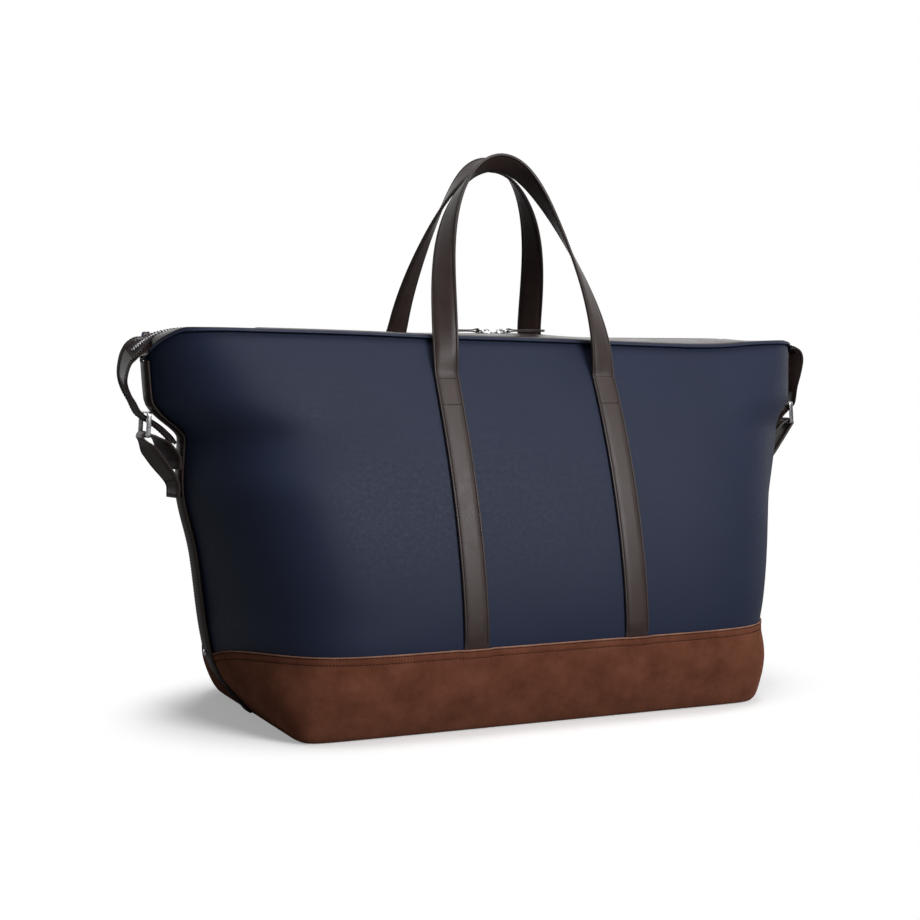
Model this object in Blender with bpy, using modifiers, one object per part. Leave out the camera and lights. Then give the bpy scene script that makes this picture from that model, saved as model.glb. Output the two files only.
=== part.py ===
"""A weekender bag: nylon over a suede boot, with leather straps, handles and facings.

Metres, +Z up. X runs along the bag, the front is at -Y, and the origin is the middle of
the base on the floor. The bag stands half full: its mouth leans forward, and its left end
is drawn in below the wing more than its right end.
"""

import math
from functools import lru_cache

import bmesh
import bpy
import numpy as np
from mathutils import Matrix, Vector

FRONT, REAR = -1, 1
LEFT, RIGHT = -1, 1
SIDES = (("left", LEFT), ("right", RIGHT))
FACES = (("front", FRONT), ("rear", REAR))

# Overall sizes of the body
BASE_LENGTH = 0.4860
BASE_DEPTH = 0.2810
BODY_HEIGHT = 0.3645
MOUTH_DEPTH = 0.1120

# How its ends stand out, each past the one below, and its sides
BOOT_HEIGHT = 0.0830
BOOT_END_HEIGHT = 0.0640
BOOT_SWEEP = 8  # how late the boot's top edge comes down to the seams
BOOT_SWELL = 0.0255  # of the front and the rear past the base
KNEE_HEIGHT = 0.0600  # where the boot's slanted ends turn upright
KNEE_OUT = 0.0450
BOOT_OUT = 0.0070
WAIST_DROP = 0.0895  # below the rim
WAIST_OUT = {LEFT: 0.0265, RIGHT: 0.0315}
FLARE_DROP = 0.0545
FLARE = 0.88  # how much of the wing's reach past the waist it has there
WING_OUT = {LEFT: 0.0365, RIGHT: 0.0225}
WING_DROOP = 0.0120
DROOP_START = 0.86
TOP_LEAN = 0.0230  # how far the mouth lies in front of the base

# How square the plan is: along the length, and at the seam, where 1 is a plain ridge
BASE_SQUARENESS = 20
WAIST_SQUARENESS = 9
MOUTH_SQUARENESS = 16
BASE_RIDGE = 0.05
SEAM_RIDGE = 1.0
SHOULDER_CURVE = 1.52

# Thicknesses of the cloth and leather
SUEDE = 0.0022
NYLON = 0.0016
FACING = 0.0022
STRIP = 0.0020
LINING = 0.0010
BASE_PANEL = 0.0025
BASE_BOARD = 0.0030
STRAP = 0.0030
TAIL = 0.0026
CHAPE = 0.0022

# Clearances
GAP = 0.0003
SEW_GAP = 0.0006
STRIP_GAP = 0.0010
SEAM_GAP = 0.0012
LINING_GAP = 0.0018
BOARD_INSET = 0.0050
LINING_DROP = 0.0120  # from the rim, so that the facings can fold past it
PARE_GAP = 0.0017  # under a handle that hangs outside
APEX_GAP = 0.0010  # from a handle's top to the mid plane
RING_CLEAR = 0.0018

# Straps and handles
STRAP_WIDTH = 0.0250
STRAP_SPREAD = 0.0845
HANDLE_DROP = 0.0335  # from the rim down to the line of stitches that a handle turns on
HANDLE_RISE = 0.2085
HANDLE_PINCH = {FRONT: 0.0, REAR: 0.0075}  # how far the legs lean in above their feet
PINCH_RISE = 0.25  # the share of the rise by which they have leant in
HANDLE_TWIST = 1.6
HANDLE_TILT = math.radians(22)
HANDLE_SWING = math.radians(120)  # from standing to hanging outside

# Seam strip, rivet, chape, ring and tail at each end
STRIP_WIDTH = 0.0250
RIVET_HEIGHT = 0.0680
RIVET_RADIUS = 0.0035
RIVET_RISE = 0.0016
RING_STAND = {LEFT: 0.0345, RIGHT: 0.0260}  # out from the waist
RING_LIFT = 0.0025
RING_TILT = math.radians(4)
RING_HEIGHT = 0.0225
RING_WALL = 0.0018
RING_BAND = 0.0045
RING_EDGE = 0.0004
CHAPE_DROP = 0.0570  # from the waist down to where the chape leaves the seam
CHAPE_SEWN = 0.0150
CHAPE_TURN = 0.0280  # how far the inner ply comes back down
CHAPE_LOOP = 0.0038
CHAPE_PARTING = 0.0034
TAIL_WIDTH = 0.0250
TAIL_FALL = 0.0380  # before the wing's end, where the tail starts to come down
TAIL_REACH = 0.0190  # past the wing's end
TAIL_SHOULDER = 0.0345
TAIL_PASS = 0.0125  # above the ring's lower bar, where the tail goes through
TAIL_LIE = 0.0040  # from the seam strip to the middle of the tail's end
TAIL_END = 0.0340  # below where it goes through the ring
NECK_START = 0.0580  # the tail narrows from here to its neck, before the wing's end
NECK_END = 0.0030

# Zip, sliders and pulls
ZIP_RISE = 0.0063  # of the facings from the rim to the zip
ZIP_SLOT = 0.0080
ZIP_INSET = 0.0085  # from the wing's end to the zip's end
LIP_OUT = 0.0190  # of the facings past the base
TEETH_WIDTH = 0.0026
TEETH_HEIGHT = 0.0024
TEETH_PARTING = 0.0019
TAPE = 0.0008
SLIDER_LENGTH = 0.0130
SLIDER_WIDTH = 0.0104
SLIDER_PLATE = 0.0012
SLIDER_REST = 0.0082
SLIDER_POST = 0.0028
SLIDER_FORK = 0.0007  # from the slider's middle to where its channel divides
SLIDER_WEDGE = 0.0013
SLIT = 0.0015
BRIDGE_LENGTH = 0.0080
BRIDGE_WIDTH = 0.0022
BRIDGE_HEIGHT = 0.0034
BRIDGE_HOLE = 0.0044
PULL_RADIUS = 0.0047
PULL_WIRE = 0.0008
TAB_LENGTH = 0.0400
TAB_WIDTH = 0.0090
TAB_NECK = 0.0050
TAB_NECK_LENGTH = 0.0052
TAB_TAPER = 0.0026
TAB_TIP_LENGTH = 0.0030
TAB_TIP_WIDTH = 0.0036
TAB = 0.0024
FOLD = 0.0010

# How finely the curved pieces are divided
PANEL_COLUMNS = 6
CORNER_CROWD, SEAM_CROWD = 2, 1.5  # how much closer columns lie at corners and after them
SEAM_COLUMNS = 2  # by a seam, which the lining leaves out
PLAN_STEPS = 70
NYLON_LEVELS = (0, 0.11, 0.22, 0.33, 0.44, 0.55, 0.63, 0.69, 0.74, 0.79, 0.86, 0.93, 1)
BOOT_LEVELS = (0, 0.2, 0.4, 0.6, 0.8, 1)
STRAP_ROWS = 16
HANDLE_ROWS = 44
TAIL_ROWS = 34
TAIL_BENDS = 5
LOOP_ROWS = 9
LIP_COLUMNS = 13
LIP_ROWS = 5
STRIP_COLUMNS = 5
TEETH_ROWS_BY_SLIDERS = 15
TEETH_ROWS_BEYOND = 6
RIVET_SEGMENTS = (14, 8)
PULL_SEGMENTS = (24, 8)
SHARP_ANGLE = math.radians(35)

# Steps for measuring slopes: along a panel, as a share of it, up, and round a handle
STEP_ALONG = 0.004
STEP_UP = 0.0015
STEP_ROUND = 0.009

# Sizes that follow from those above; a reach is measured from the middle of the bag
KNEE_REACH = BASE_LENGTH / 2 + KNEE_OUT
BOOT_REACH = KNEE_REACH + BOOT_OUT
BOOT_DEPTH = BASE_DEPTH + 2 * BOOT_SWELL
WAIST_REACH = {side: BOOT_REACH + WAIST_OUT[side] for _, side in SIDES}
WING_REACH = {side: WAIST_REACH[side] + WING_OUT[side] for _, side in SIDES}
LIP_END = BASE_LENGTH / 2 + LIP_OUT
WAIST_HEIGHT = BODY_HEIGHT - WAIST_DROP
FLARE_HEIGHT = BODY_HEIGHT - FLARE_DROP
HANDLE_HEIGHT = BODY_HEIGHT - HANDLE_DROP
HANDLE_APEX = STRAP_WIDTH / 2 + APEX_GAP
ZIP_Y = -TOP_LEAN
FACING_EDGE = BODY_HEIGHT + GAP + FACING / 2
ZIP_Z = FACING_EDGE + ZIP_RISE
SLIDER_TOP = TEETH_HEIGHT / 2 + GAP + SLIDER_PLATE
PULL_Z = ZIP_Z + SLIDER_TOP + (BRIDGE_HEIGHT - SLIDER_PLATE + GAP) / 2


def clear_scene():
    for obj in list(bpy.data.objects):
        bpy.data.objects.remove(obj, do_unlink=True)


def new_collection(name):
    collection = bpy.data.collections.new(name)
    bpy.context.scene.collection.children.link(collection)
    return collection


def new_material(name, colour, roughness, metallic=0.0):
    material = bpy.data.materials.new(name)
    material.use_nodes = True
    shader = material.node_tree.nodes["Principled BSDF"]
    shader.inputs["Base Color"].default_value = (*colour, 1)
    shader.inputs["Roughness"].default_value = roughness
    shader.inputs["Metallic"].default_value = metallic
    return material


clear_scene()
BAG = new_collection("weekender_bag")
CUTTERS = new_collection("cutters")
NAVY_NYLON = new_material("navy_nylon", (0.030, 0.037, 0.062), 0.55)
BROWN_SUEDE = new_material("brown_suede", (0.094, 0.034, 0.020), 0.95)
BROWN_LEATHER = new_material("brown_leather", (0.030, 0.020, 0.018), 0.45)
LINING_CLOTH = new_material("lining_cloth", (0.024, 0.028, 0.045), 0.80)
FIBREBOARD = new_material("fibreboard", (0.080, 0.060, 0.045), 0.90)
ZIP_CLOTH = new_material("zip_cloth", (0.016, 0.013, 0.012), 0.85)
NICKEL = new_material("nickel", (0.60, 0.60, 0.61), 0.25, 1.0)


def add_object(name, shape, finish, collection=BAG):
    """Turns a bmesh into a named object with its finish."""
    mesh = bpy.data.meshes.new(name)
    shape.to_mesh(mesh)
    shape.free()
    mesh.shade_smooth()
    mesh.set_sharp_from_angle(angle=SHARP_ANGLE)
    mesh.materials.append(finish)
    obj = bpy.data.objects.new(name, mesh)
    collection.objects.link(obj)
    return obj


def join_rows(shape, rows, wrap=False):
    """Faces between neighbouring rows of vertices, all of one length."""
    size = len(rows[0])
    for low, high in zip(rows, rows[1:]):
        for c in range(size if wrap else size - 1):
            d = (c + 1) % size
            shape.faces.new((low[c], low[d], high[d], high[c]))


def thicken(obj, thickness, offset):
    solidify = obj.modifiers.new("thickness", "SOLIDIFY")
    solidify.thickness = thickness
    solidify.offset = offset
    solidify.use_even_offset = True


def sheet(name, grid, thickness, offset, finish, slot=()):
    """A shell: an open grid of points, thickened along its normals.

    The slot lists the faces left out, as (row, column).
    """
    shape = bmesh.new()
    rows = [[shape.verts.new(p) for p in row] for row in grid]
    join_rows(shape, rows)
    across = len(grid[0]) - 1
    shape.faces.ensure_lookup_table()
    gone = [shape.faces[r * across + c] for r, c in slot]
    bmesh.ops.delete(shape, geom=gone, context="FACES")
    obj = add_object(name, shape, finish)
    thicken(obj, thickness, offset)
    return obj


def band(name, centres, across, width, thickness, finish):
    """A flat strap along its centres, across the given directions."""
    grid = [[c - a * (width / 2), c + a * (width / 2)] for c, a in zip(centres, across)]
    return sheet(name, grid, thickness, 0, finish)


def loft(name, rings, finish, collection=BAG):
    """A solid through closed rings of points, capped at both ends."""
    shape = bmesh.new()
    rows = [[shape.verts.new(p) for p in ring] for ring in rings]
    join_rows(shape, rows, wrap=True)
    shape.faces.new(rows[0])
    shape.faces.new(rows[-1])
    bmesh.ops.recalc_face_normals(shape, faces=shape.faces)
    return add_object(name, shape, finish, collection)


def prism(name, outline, low, high, finish, collection=BAG):
    """An outline in plan, extruded from one height to another."""
    shape = bmesh.new()
    face = shape.faces.new([shape.verts.new((x, y, low)) for x, y in outline])
    raised = bmesh.ops.extrude_face_region(shape, geom=[face])["geom"]
    corners = [g for g in raised if isinstance(g, bmesh.types.BMVert)]
    bmesh.ops.translate(shape, vec=(0, 0, high - low), verts=corners)
    bmesh.ops.recalc_face_normals(shape, faces=shape.faces)
    return add_object(name, shape, finish, collection)


def box(name, low, high, finish, collection=BAG):
    low, high = Vector(low), Vector(high)
    shape = bmesh.new()
    place = Matrix.Translation((low + high) / 2) @ Matrix.Diagonal((*(high - low), 1))
    bmesh.ops.create_cube(shape, size=1, matrix=place)
    return add_object(name, shape, finish, collection)


def combine(obj, other, operation):
    """Applies a Boolean at once, and removes the other shape."""
    modifier = obj.modifiers.new(operation.lower(), "BOOLEAN")
    modifier.operation = operation
    modifier.object = other
    bpy.context.view_layer.update()
    graph = bpy.context.evaluated_depsgraph_get()
    mesh = bpy.data.meshes.new_from_object(obj.evaluated_get(graph))
    obj.modifiers.clear()
    obj.data = mesh
    bpy.data.objects.remove(other, do_unlink=True)


def pivot(obj, place):
    """Puts the object's origin on its joint's axis, with its shape left in place."""
    obj.data.transform(Matrix.Translation(-Vector(place)))
    obj.location = place


def turn_round(obj, side):
    """Faces a piece that was made for the right side the other way on the left."""
    if side == LEFT:
        obj.data.transform(Matrix.Rotation(math.pi, 4, "Z"))


def ease(t):
    t = min(max(t, 0.0), 1.0)
    return t * t * (3 - 2 * t)


def smooth(knots, at):
    """A monotone cubic through (place, value) knots."""
    x, y = np.array(knots, float).T
    step = np.diff(x)
    rise = np.diff(y) / step
    slope = np.concatenate([rise[:1], np.zeros(len(x) - 2), rise[-1:]])
    for i in range(1, len(x) - 1):
        if rise[i - 1] * rise[i] > 0:
            slope[i] = 2 * rise[i - 1] * rise[i] / (rise[i - 1] + rise[i])
    i = int(np.clip(np.searchsorted(x, at) - 1, 0, len(step) - 1))
    t = (min(max(at, x[0]), x[-1]) - x[i]) / step[i]
    keep = (1 + 2 * t) * (1 - t) ** 2 * y[i] + t * t * (3 - 2 * t) * y[i + 1]
    return keep + step[i] * (t * (1 - t) ** 2 * slope[i] - t * t * (1 - t) * slope[i + 1])


def spline(knots, count):
    """Evenly spread points on a Catmull-Rom curve through the knots."""
    k = [np.array(p, float) for p in knots]
    k = [2 * k[0] - k[1], *k, 2 * k[-1] - k[-2]]
    dense = []
    for a, b, c, d in zip(k, k[1:], k[2:], k[3:]):
        for t in np.linspace(0, 1, count, endpoint=False):
            curve = 2 * b + (c - a) * t + (2 * a - 5 * b + 4 * c - d) * t**2
            dense.append((curve + (3 * b - a - 3 * c + d) * t**3) / 2)
    dense = np.array([*dense, k[-2]])
    length = np.concatenate([[0], np.cumsum(np.linalg.norm(np.diff(dense, axis=0), axis=1))])
    at = np.linspace(0, length[-1], count)
    return np.stack([np.interp(at, length, axis) for axis in dense.T], axis=1)


# The body's skin


@lru_cache(maxsize=None)
def half_length(z, side):
    """From the middle of the bag to an end seam."""
    waist, wing = WAIST_REACH[side], WING_REACH[side]
    profile = (
        (0, BASE_LENGTH / 2),
        (KNEE_HEIGHT, KNEE_REACH),
        (BOOT_HEIGHT, BOOT_REACH),
        (WAIST_HEIGHT, waist),
        (FLARE_HEIGHT, waist + FLARE * (wing - waist)),
        (BODY_HEIGHT, wing),
    )
    return smooth(profile, z)


def half_depth(z):
    if z < BOOT_HEIGHT:
        swell = math.sin(math.pi / 2 * z / BOOT_HEIGHT)
        return (BASE_DEPTH + (BOOT_DEPTH - BASE_DEPTH) * swell) / 2
    rise = min((z - BOOT_HEIGHT) / (BODY_HEIGHT - BOOT_HEIGHT), 1)
    return (BOOT_DEPTH + (MOUTH_DEPTH - BOOT_DEPTH) * rise**SHOULDER_CURVE) / 2


def squareness(z):
    profile = (
        (0, BASE_SQUARENESS),
        (BOOT_HEIGHT, WAIST_SQUARENESS),
        (WAIST_HEIGHT, WAIST_SQUARENESS),
        (BODY_HEIGHT, MOUTH_SQUARENESS),
    )
    return smooth(profile, z)


def ridge(z):
    return BASE_RIDGE + (SEAM_RIDGE - BASE_RIDGE) * ease(z / BOOT_HEIGHT)


def lean(z):
    return -TOP_LEAN * ease(z / BODY_HEIGHT)


def plan(length, depth, square, seam):
    """A quarter of the plan, from the middle of a face to the end seam."""
    t = np.linspace(0, 0.5 ** (1 / square), PLAN_STEPS)
    first = np.stack([t * length, depth * (1 - t**square) ** seam], axis=1)
    y = np.linspace(0.5**seam, 0, PLAN_STEPS)[1:]
    second = np.stack([length * (1 - y ** (1 / seam)) ** (1 / square), y * depth], axis=1)
    return np.concatenate([first, second])


@lru_cache(maxsize=None)
def section(z, side):
    """The plan at this height, with the length along it from 0 to 1, and its real length."""
    points = plan(half_length(z, side), half_depth(z), squareness(z), ridge(z))
    along = np.concatenate([[0], np.cumsum(np.linalg.norm(np.diff(points, axis=0), axis=1))])
    return along / along[-1], points, along[-1]


def side_of(place):
    return LEFT if place < 0 else RIGHT


def skin(f, z, face):
    """A point of a panel: f runs from -1 at the left seam to 1 at the right seam."""
    along, points, _ = section(round(z, 6), side_of(f))
    x = np.interp(abs(f), along, points[:, 0])
    y = np.interp(abs(f), along, points[:, 1])
    return Vector((math.copysign(x, f), lean(z) + face * y, z))


def outward(f, z, face):
    along = skin(min(f + STEP_ALONG, 1), z, face) - skin(max(f - STEP_ALONG, -1), z, face)
    up = skin(f, z + STEP_UP, face) - skin(f, max(z - STEP_UP, 0), face)
    return (along.cross(up) * -face).normalized()


def hull(f, z, face, out):
    return skin(f, z, face) + outward(f, z, face) * out


def inside(f, z, face, inset):
    """A point this far in from a panel, at the same height."""
    level = outward(f, z, face) * Vector((1, 1, 0))
    return skin(f, z, face) - level * (inset / level.length_squared)


def depth_at(x, z):
    """Half the body's depth at this distance from its middle."""
    share = min(abs(x) / half_length(z, side_of(x)), 1)
    return half_depth(z) * (1 - share ** squareness(z)) ** ridge(z)


def boot_top(f):
    return BOOT_HEIGHT - (BOOT_HEIGHT - BOOT_END_HEIGHT) * abs(f) ** BOOT_SWEEP


def rim(f):
    return BODY_HEIGHT - WING_DROOP * ease((abs(f) - DROOP_START) / (1 - DROOP_START))


def from_seam(distance):
    """The place on a panel this far from its seam."""
    return 1 - distance / section(BOOT_HEIGHT, RIGHT)[2]


def columns(face):
    """Places across a panel, closest together at the corners of the base."""
    edge = from_seam(STRIP_WIDTH / 2)
    corner = BASE_LENGTH / 2 / section(0.0, RIGHT)[2]
    steps = np.linspace(0, 1, PANEL_COLUMNS)
    half = [corner * (1 - (1 - t) ** CORNER_CROWD) for t in steps]
    half += [corner + (edge - corner) * t**SEAM_CROWD for t in steps[1:]]
    half += [from_seam(SEAM_GAP)]
    across = np.array([-f for f in half[:0:-1]] + half)
    return across * -face


def panel_levels(f):
    """Heights of the rows of a boot and of the panel above it."""
    low, middle, high = BASE_PANEL + GAP, boot_top(f), rim(f)
    boot = [low + (middle - low) * v for v in BOOT_LEVELS[:-1]]
    return boot + [middle + (high - middle) * v for v in NYLON_LEVELS]


def panel(name, face, low, high, levels, thickness, finish):
    places = columns(face)
    grid = [[skin(f, low(f) + (high(f) - low(f)) * v, face) for f in places] for v in levels]
    return sheet(name, grid, thickness, -1, finish)


def make_panels():
    def floor(f):
        return BASE_PANEL + GAP

    def boot_rim(f):
        return boot_top(f) - GAP

    def panel_foot(f):
        return boot_top(f) + GAP

    for name, face in FACES:
        panel(f"{name}_boot", face, floor, boot_rim, BOOT_LEVELS, SUEDE, BROWN_SUEDE)
        panel(f"{name}_panel", face, panel_foot, rim, NYLON_LEVELS, NYLON, NAVY_NYLON)


def round_outline(z, inset):
    """The whole plan at this height, once round, this far in from the skin."""
    front = [inside(f, z, FRONT, inset) for f in columns(FRONT)]
    rear = [inside(f, z, REAR, inset) for f in columns(REAR)]
    return [(p.x, p.y) for p in front + rear]


def make_base():
    prism("base_panel", round_outline(0.0, 0.0), 0, BASE_PANEL, BROWN_LEATHER)
    low = BASE_PANEL + GAP
    prism("base_board", round_outline(0.0, BOARD_INSET), low, low + BASE_BOARD, FIBREBOARD)


def make_lining():
    """An open sack of cloth, closed at its bottom and hung just inside the panels."""
    inset = SUEDE + LINING_GAP
    floor = BASE_PANEL + BASE_BOARD + 2 * GAP
    top = BODY_HEIGHT - LINING_DROP
    levels = [floor, *[z for z in panel_levels(0)[1:] if z < top], top]
    shape = bmesh.new()
    rows = []
    for z in levels:
        front = [inside(f, z, FRONT, inset) for f in columns(FRONT)[SEAM_COLUMNS:-SEAM_COLUMNS]]
        rear = [inside(f, z, REAR, inset) for f in columns(REAR)[SEAM_COLUMNS:-SEAM_COLUMNS]]
        rows.append([shape.verts.new(p) for p in front + rear])
    join_rows(shape, rows, wrap=True)
    shape.faces.new(rows[0][::-1])
    thicken(add_object("lining", shape, LINING_CLOTH), LINING, -1)


# The end seams: strips, rivets, chapes and rings


def seam_point(side, z, across, out):
    """A point over an end seam, this far across it and out from the panels."""
    if across == 0:
        return Vector((side * (half_length(z, side) + out), lean(z), z))
    face = FRONT if across < 0 else REAR
    return hull(side * from_seam(abs(across)), z, face, out)


def make_strips():
    low, high = BASE_PANEL + 2 * GAP, rim(1) - STRIP
    for name, side in SIDES:
        places = np.linspace(-1, 1, STRIP_COLUMNS) * side * STRIP_WIDTH / 2
        heights = [panel_levels(from_seam(abs(a))) for a in places]
        levels = [[min(max(z, low), high) for z in row] for row in zip(*heights)]
        grid = [[seam_point(side, z, a, STRIP_GAP) for a, z in zip(places, row)] for row in levels]
        sheet(f"{name}_seam_strip", grid, STRIP, 1, BROWN_LEATHER)


def make_rivets():
    """A low dome on each strip, set square to the slanted end of the boot."""
    for name, side in SIDES:
        above = half_length(RIVET_HEIGHT + STEP_UP, side)
        below = half_length(RIVET_HEIGHT - STEP_UP, side)
        slope = (above - below) / (2 * STEP_UP)
        seat = STRIP_GAP + STRIP * math.hypot(1, slope) + GAP
        shape = bmesh.new()
        around, up = RIVET_SEGMENTS
        bmesh.ops.create_uvsphere(shape, u_segments=around, v_segments=up, radius=RIVET_RADIUS)
        planes = shape.verts[:] + shape.edges[:] + shape.faces[:]
        cut = bmesh.ops.bisect_plane(
            shape, geom=planes, plane_co=(0, 0, 0), plane_no=(0, 0, -1), clear_outer=True
        )
        edge = [g for g in cut["geom_cut"] if isinstance(g, bmesh.types.BMEdge)]
        bmesh.ops.contextual_create(shape, geom=edge)
        bmesh.ops.scale(shape, vec=(1, 1, RIVET_RISE / RIVET_RADIUS), verts=shape.verts)
        bmesh.ops.recalc_face_normals(shape, faces=shape.faces)
        rivet = add_object(f"{name}_rivet", shape, NICKEL)
        normal = Vector((side, 0, -slope)).normalized()
        rivet.location = seam_point(side, RIVET_HEIGHT, 0, 0) + normal * seat
        rivet.rotation_euler = normal.to_track_quat("Z", "Y").to_euler()


def ring_foot(side):
    """The middle of the ring's lower bar, as (distance from the middle, height)."""
    return np.array([WAIST_REACH[side] + RING_STAND[side], WAIST_HEIGHT + RING_LIFT])


def chape_foot(side):
    """The sewn end of the chape on its seam strip, from its lower end up."""
    sewn = STRIP_GAP + STRIP + GAP + CHAPE
    top = WAIST_HEIGHT - CHAPE_DROP
    return [np.array([half_length(z, side) + sewn, z]) for z in (top - CHAPE_SEWN, top)]


def chape_slant(side):
    along = ring_foot(side) - chape_foot(side)[1]
    return along / np.linalg.norm(along)


def chape_path(side):
    """Up from the seam, round the ring's lower bar and back down inside."""
    foot = chape_foot(side)
    slant = chape_slant(side)
    out = np.array([slant[1], -slant[0]])
    centre = ring_foot(side)
    start = math.atan2(out[1], out[0])
    turn = [start + a for a in np.linspace(0, math.pi, LOOP_ROWS)]
    loop = [centre + CHAPE_LOOP * np.array([math.cos(a), math.sin(a)]) for a in turn]
    middle = (foot[1] + loop[0]) / 2
    back = centre - slant * CHAPE_TURN
    share = np.linalg.norm(back - foot[1]) / np.linalg.norm(centre - foot[1])
    end = back + out * (CHAPE_LOOP * share - CHAPE_PARTING)
    return [*foot, middle, *loop, (loop[-1] + end) / 2, end]


def end_strap(name, side, path, width, thickness, finish):
    """A strap across an end: its path is in (distance from the middle, height)."""
    centres = [Vector((side * x, lean(z), z)) for x, z in path]
    across = [Vector((0, 1, 0))] * len(path)
    return band(name, centres, across, width, thickness, finish)


def make_chapes():
    for name, side in SIDES:
        end_strap(f"{name}_chape", side, chape_path(side), TAIL_WIDTH, CHAPE, BROWN_LEATHER)


def make_rings():
    """A flat band bent to a rectangle, wide enough for the tail to pass through."""
    inner = TAIL_WIDTH / 2 + RING_CLEAR
    half_wall = RING_WALL / 2
    reach = (RING_BAND / 2, inner + RING_WALL, RING_HEIGHT + half_wall)
    hole = (RING_BAND, inner, RING_HEIGHT - half_wall)
    for name, side in SIDES:
        x, z = ring_foot(side)
        ring = box(f"{name}_ring", (-reach[0], -reach[1], -half_wall), reach, NICKEL)
        cutter = box("ring_hole", (-hole[0], -hole[1], half_wall), hole, NICKEL, CUTTERS)
        combine(ring, cutter, "DIFFERENCE")
        ring.data.transform(Matrix.Rotation(-side * RING_TILT, 4, "Y"))
        ring.location = (side * x, lean(z), z)
        bevel = ring.modifiers.new("edges", "BEVEL")
        bevel.width = RING_EDGE
        bevel.segments = 1


# Facings, tails and zip


def mouth_edge(x):
    """Half the depth of the mouth, at the outside of the panels' rim."""
    return depth_at(x, BODY_HEIGHT)


def make_facings():
    """The leather on each side of the zip, which folds down into the mouth."""
    for name, face in FACES:
        grid = []
        for v in np.linspace(0, 1, LIP_ROWS):
            row = []
            for x in np.linspace(-LIP_END, LIP_END, LIP_COLUMNS) * -face:
                edge = mouth_edge(x)
                y = ZIP_Y + face * (edge + (ZIP_SLOT - edge) * v)
                row.append(Vector((x, y, FACING_EDGE + ZIP_RISE * v)))
            grid.append(row)
        facing = sheet(f"{name}_facing", grid, FACING, 0, BROWN_LEATHER)
        pivot(facing, (0, ZIP_Y + face * (mouth_edge(0) - NYLON), FACING_EDGE - FACING / 2))


def teeth_parting(x):
    """How far each row of teeth stands off the middle of the zip."""
    inner_end = SLIDER_REST - SLIDER_LENGTH / 2
    closing = ease((abs(x) - inner_end) / (SLIDER_LENGTH / 2 + GAP))
    return GAP / 2 + TEETH_PARTING * (1 - closing)


def make_zip():
    """The open part of the zip: a row of teeth and a tape along each facing."""
    past = SLIDER_REST + SLIDER_LENGTH
    inner = np.linspace(-past, past, TEETH_ROWS_BY_SLIDERS)
    outer = np.linspace(past, LIP_END, TEETH_ROWS_BEYOND)[1:]
    places = [*(-outer[::-1]), *inner, *outer]
    for name, face in FACES:
        teeth, tape = [], []
        for x in places:
            near = teeth_parting(x)
            far = near + TEETH_WIDTH
            corners = ((near, -1), (far, -1), (far, 1), (near, 1))
            teeth.append([(x, ZIP_Y + face * y, ZIP_Z + k * TEETH_HEIGHT / 2) for y, k in corners])
            low, high = far + GAP, ZIP_SLOT - GAP
            corners = ((low, -1), (high, -1), (high, 1), (low, 1))
            tape.append([(x, ZIP_Y + face * y, ZIP_Z + k * TAPE / 2) for y, k in corners])
        loft(f"{name}_zip_teeth", teeth, NICKEL)
        loft(f"{name}_zip_tape", tape, ZIP_CLOTH)


def tail_path(side):
    """Along the top from the facing, over the wing and down through the ring."""
    wing = WING_REACH[side]
    across = TAIL_FALL + TAIL_REACH
    knots = [(LIP_END + SEAM_GAP, ZIP_Z)]
    for t in np.linspace(0, math.pi / 2, TAIL_BENDS):
        x = wing - TAIL_FALL + across * math.sin(t)
        knots.append((x, ZIP_Z - TAIL_SHOULDER * (1 - math.cos(t))))
    up = np.array([-math.sin(RING_TILT), math.cos(RING_TILT)])
    through = ring_foot(side) + up * TAIL_PASS
    low = through[1] - TAIL_END
    end = np.array([half_length(low, side) + STRIP_GAP + STRIP + TAIL_LIE, low])
    knots += [through, (through + end) / 2, end]
    return spline(knots, TAIL_ROWS)


def rows_before(path, side, inset):
    """How many rows of the tail lie short of this distance from the wing's end."""
    top = int(np.argmax(path[:, 0]))
    return int(np.searchsorted(path[:top, 0], WING_REACH[side] - inset))


def make_tails():
    for name, side in SIDES:
        path = tail_path(side)
        neck = rows_before(path, side, NECK_END)
        grid = []
        for i, (x, z) in enumerate(path):
            half, drop = TAIL_WIDTH / 2, 0.0
            if i < neck:
                half = max(mouth_edge(side * x), half)
                before = WING_REACH[side] - NECK_START
                drop = ZIP_RISE * (1 - ease((x - before) / (NECK_START - NECK_END)))
            middle = (half + ZIP_SLOT) / 2
            row = []
            for y in (-half, -middle, -ZIP_SLOT, ZIP_SLOT, middle, half):
                low = drop * max(abs(y) - ZIP_SLOT, 0) / max(half - ZIP_SLOT, GAP)
                row.append(Vector((side * x, lean(z) + side * y, z - low)))
            grid.append(row)
        slot = [(r, 2) for r in range(rows_before(path, side, ZIP_INSET))]
        sheet(f"{name}_tail", grid, TAIL, 0, BROWN_LEATHER, slot)


def make_zip_ends():
    """The closed end of the zip, let into each tail."""
    width = ZIP_SLOT - GAP
    teeth = TEETH_WIDTH + GAP / 2
    flat, proud = TAPE / 2, TEETH_HEIGHT / 2
    half = [(-width, flat), (-teeth, flat), (-teeth, proud), (teeth, proud), (teeth, flat), (width, flat)]
    profile = half + [(y, -z) for y, z in half[::-1]]
    for name, side in SIDES:
        path = tail_path(side)
        rows = path[: rows_before(path, side, ZIP_INSET) + 1].copy()
        rows[0, 0] += GAP
        last = rows[-1] - rows[-2]
        rows[-1] -= last / np.linalg.norm(last) * 2 * GAP
        rings = [[(side * x, lean(z) + y, z + k) for y, k in profile] for x, z in rows]
        loft(f"{name}_zip_end", rings, ZIP_CLOTH)


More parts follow.
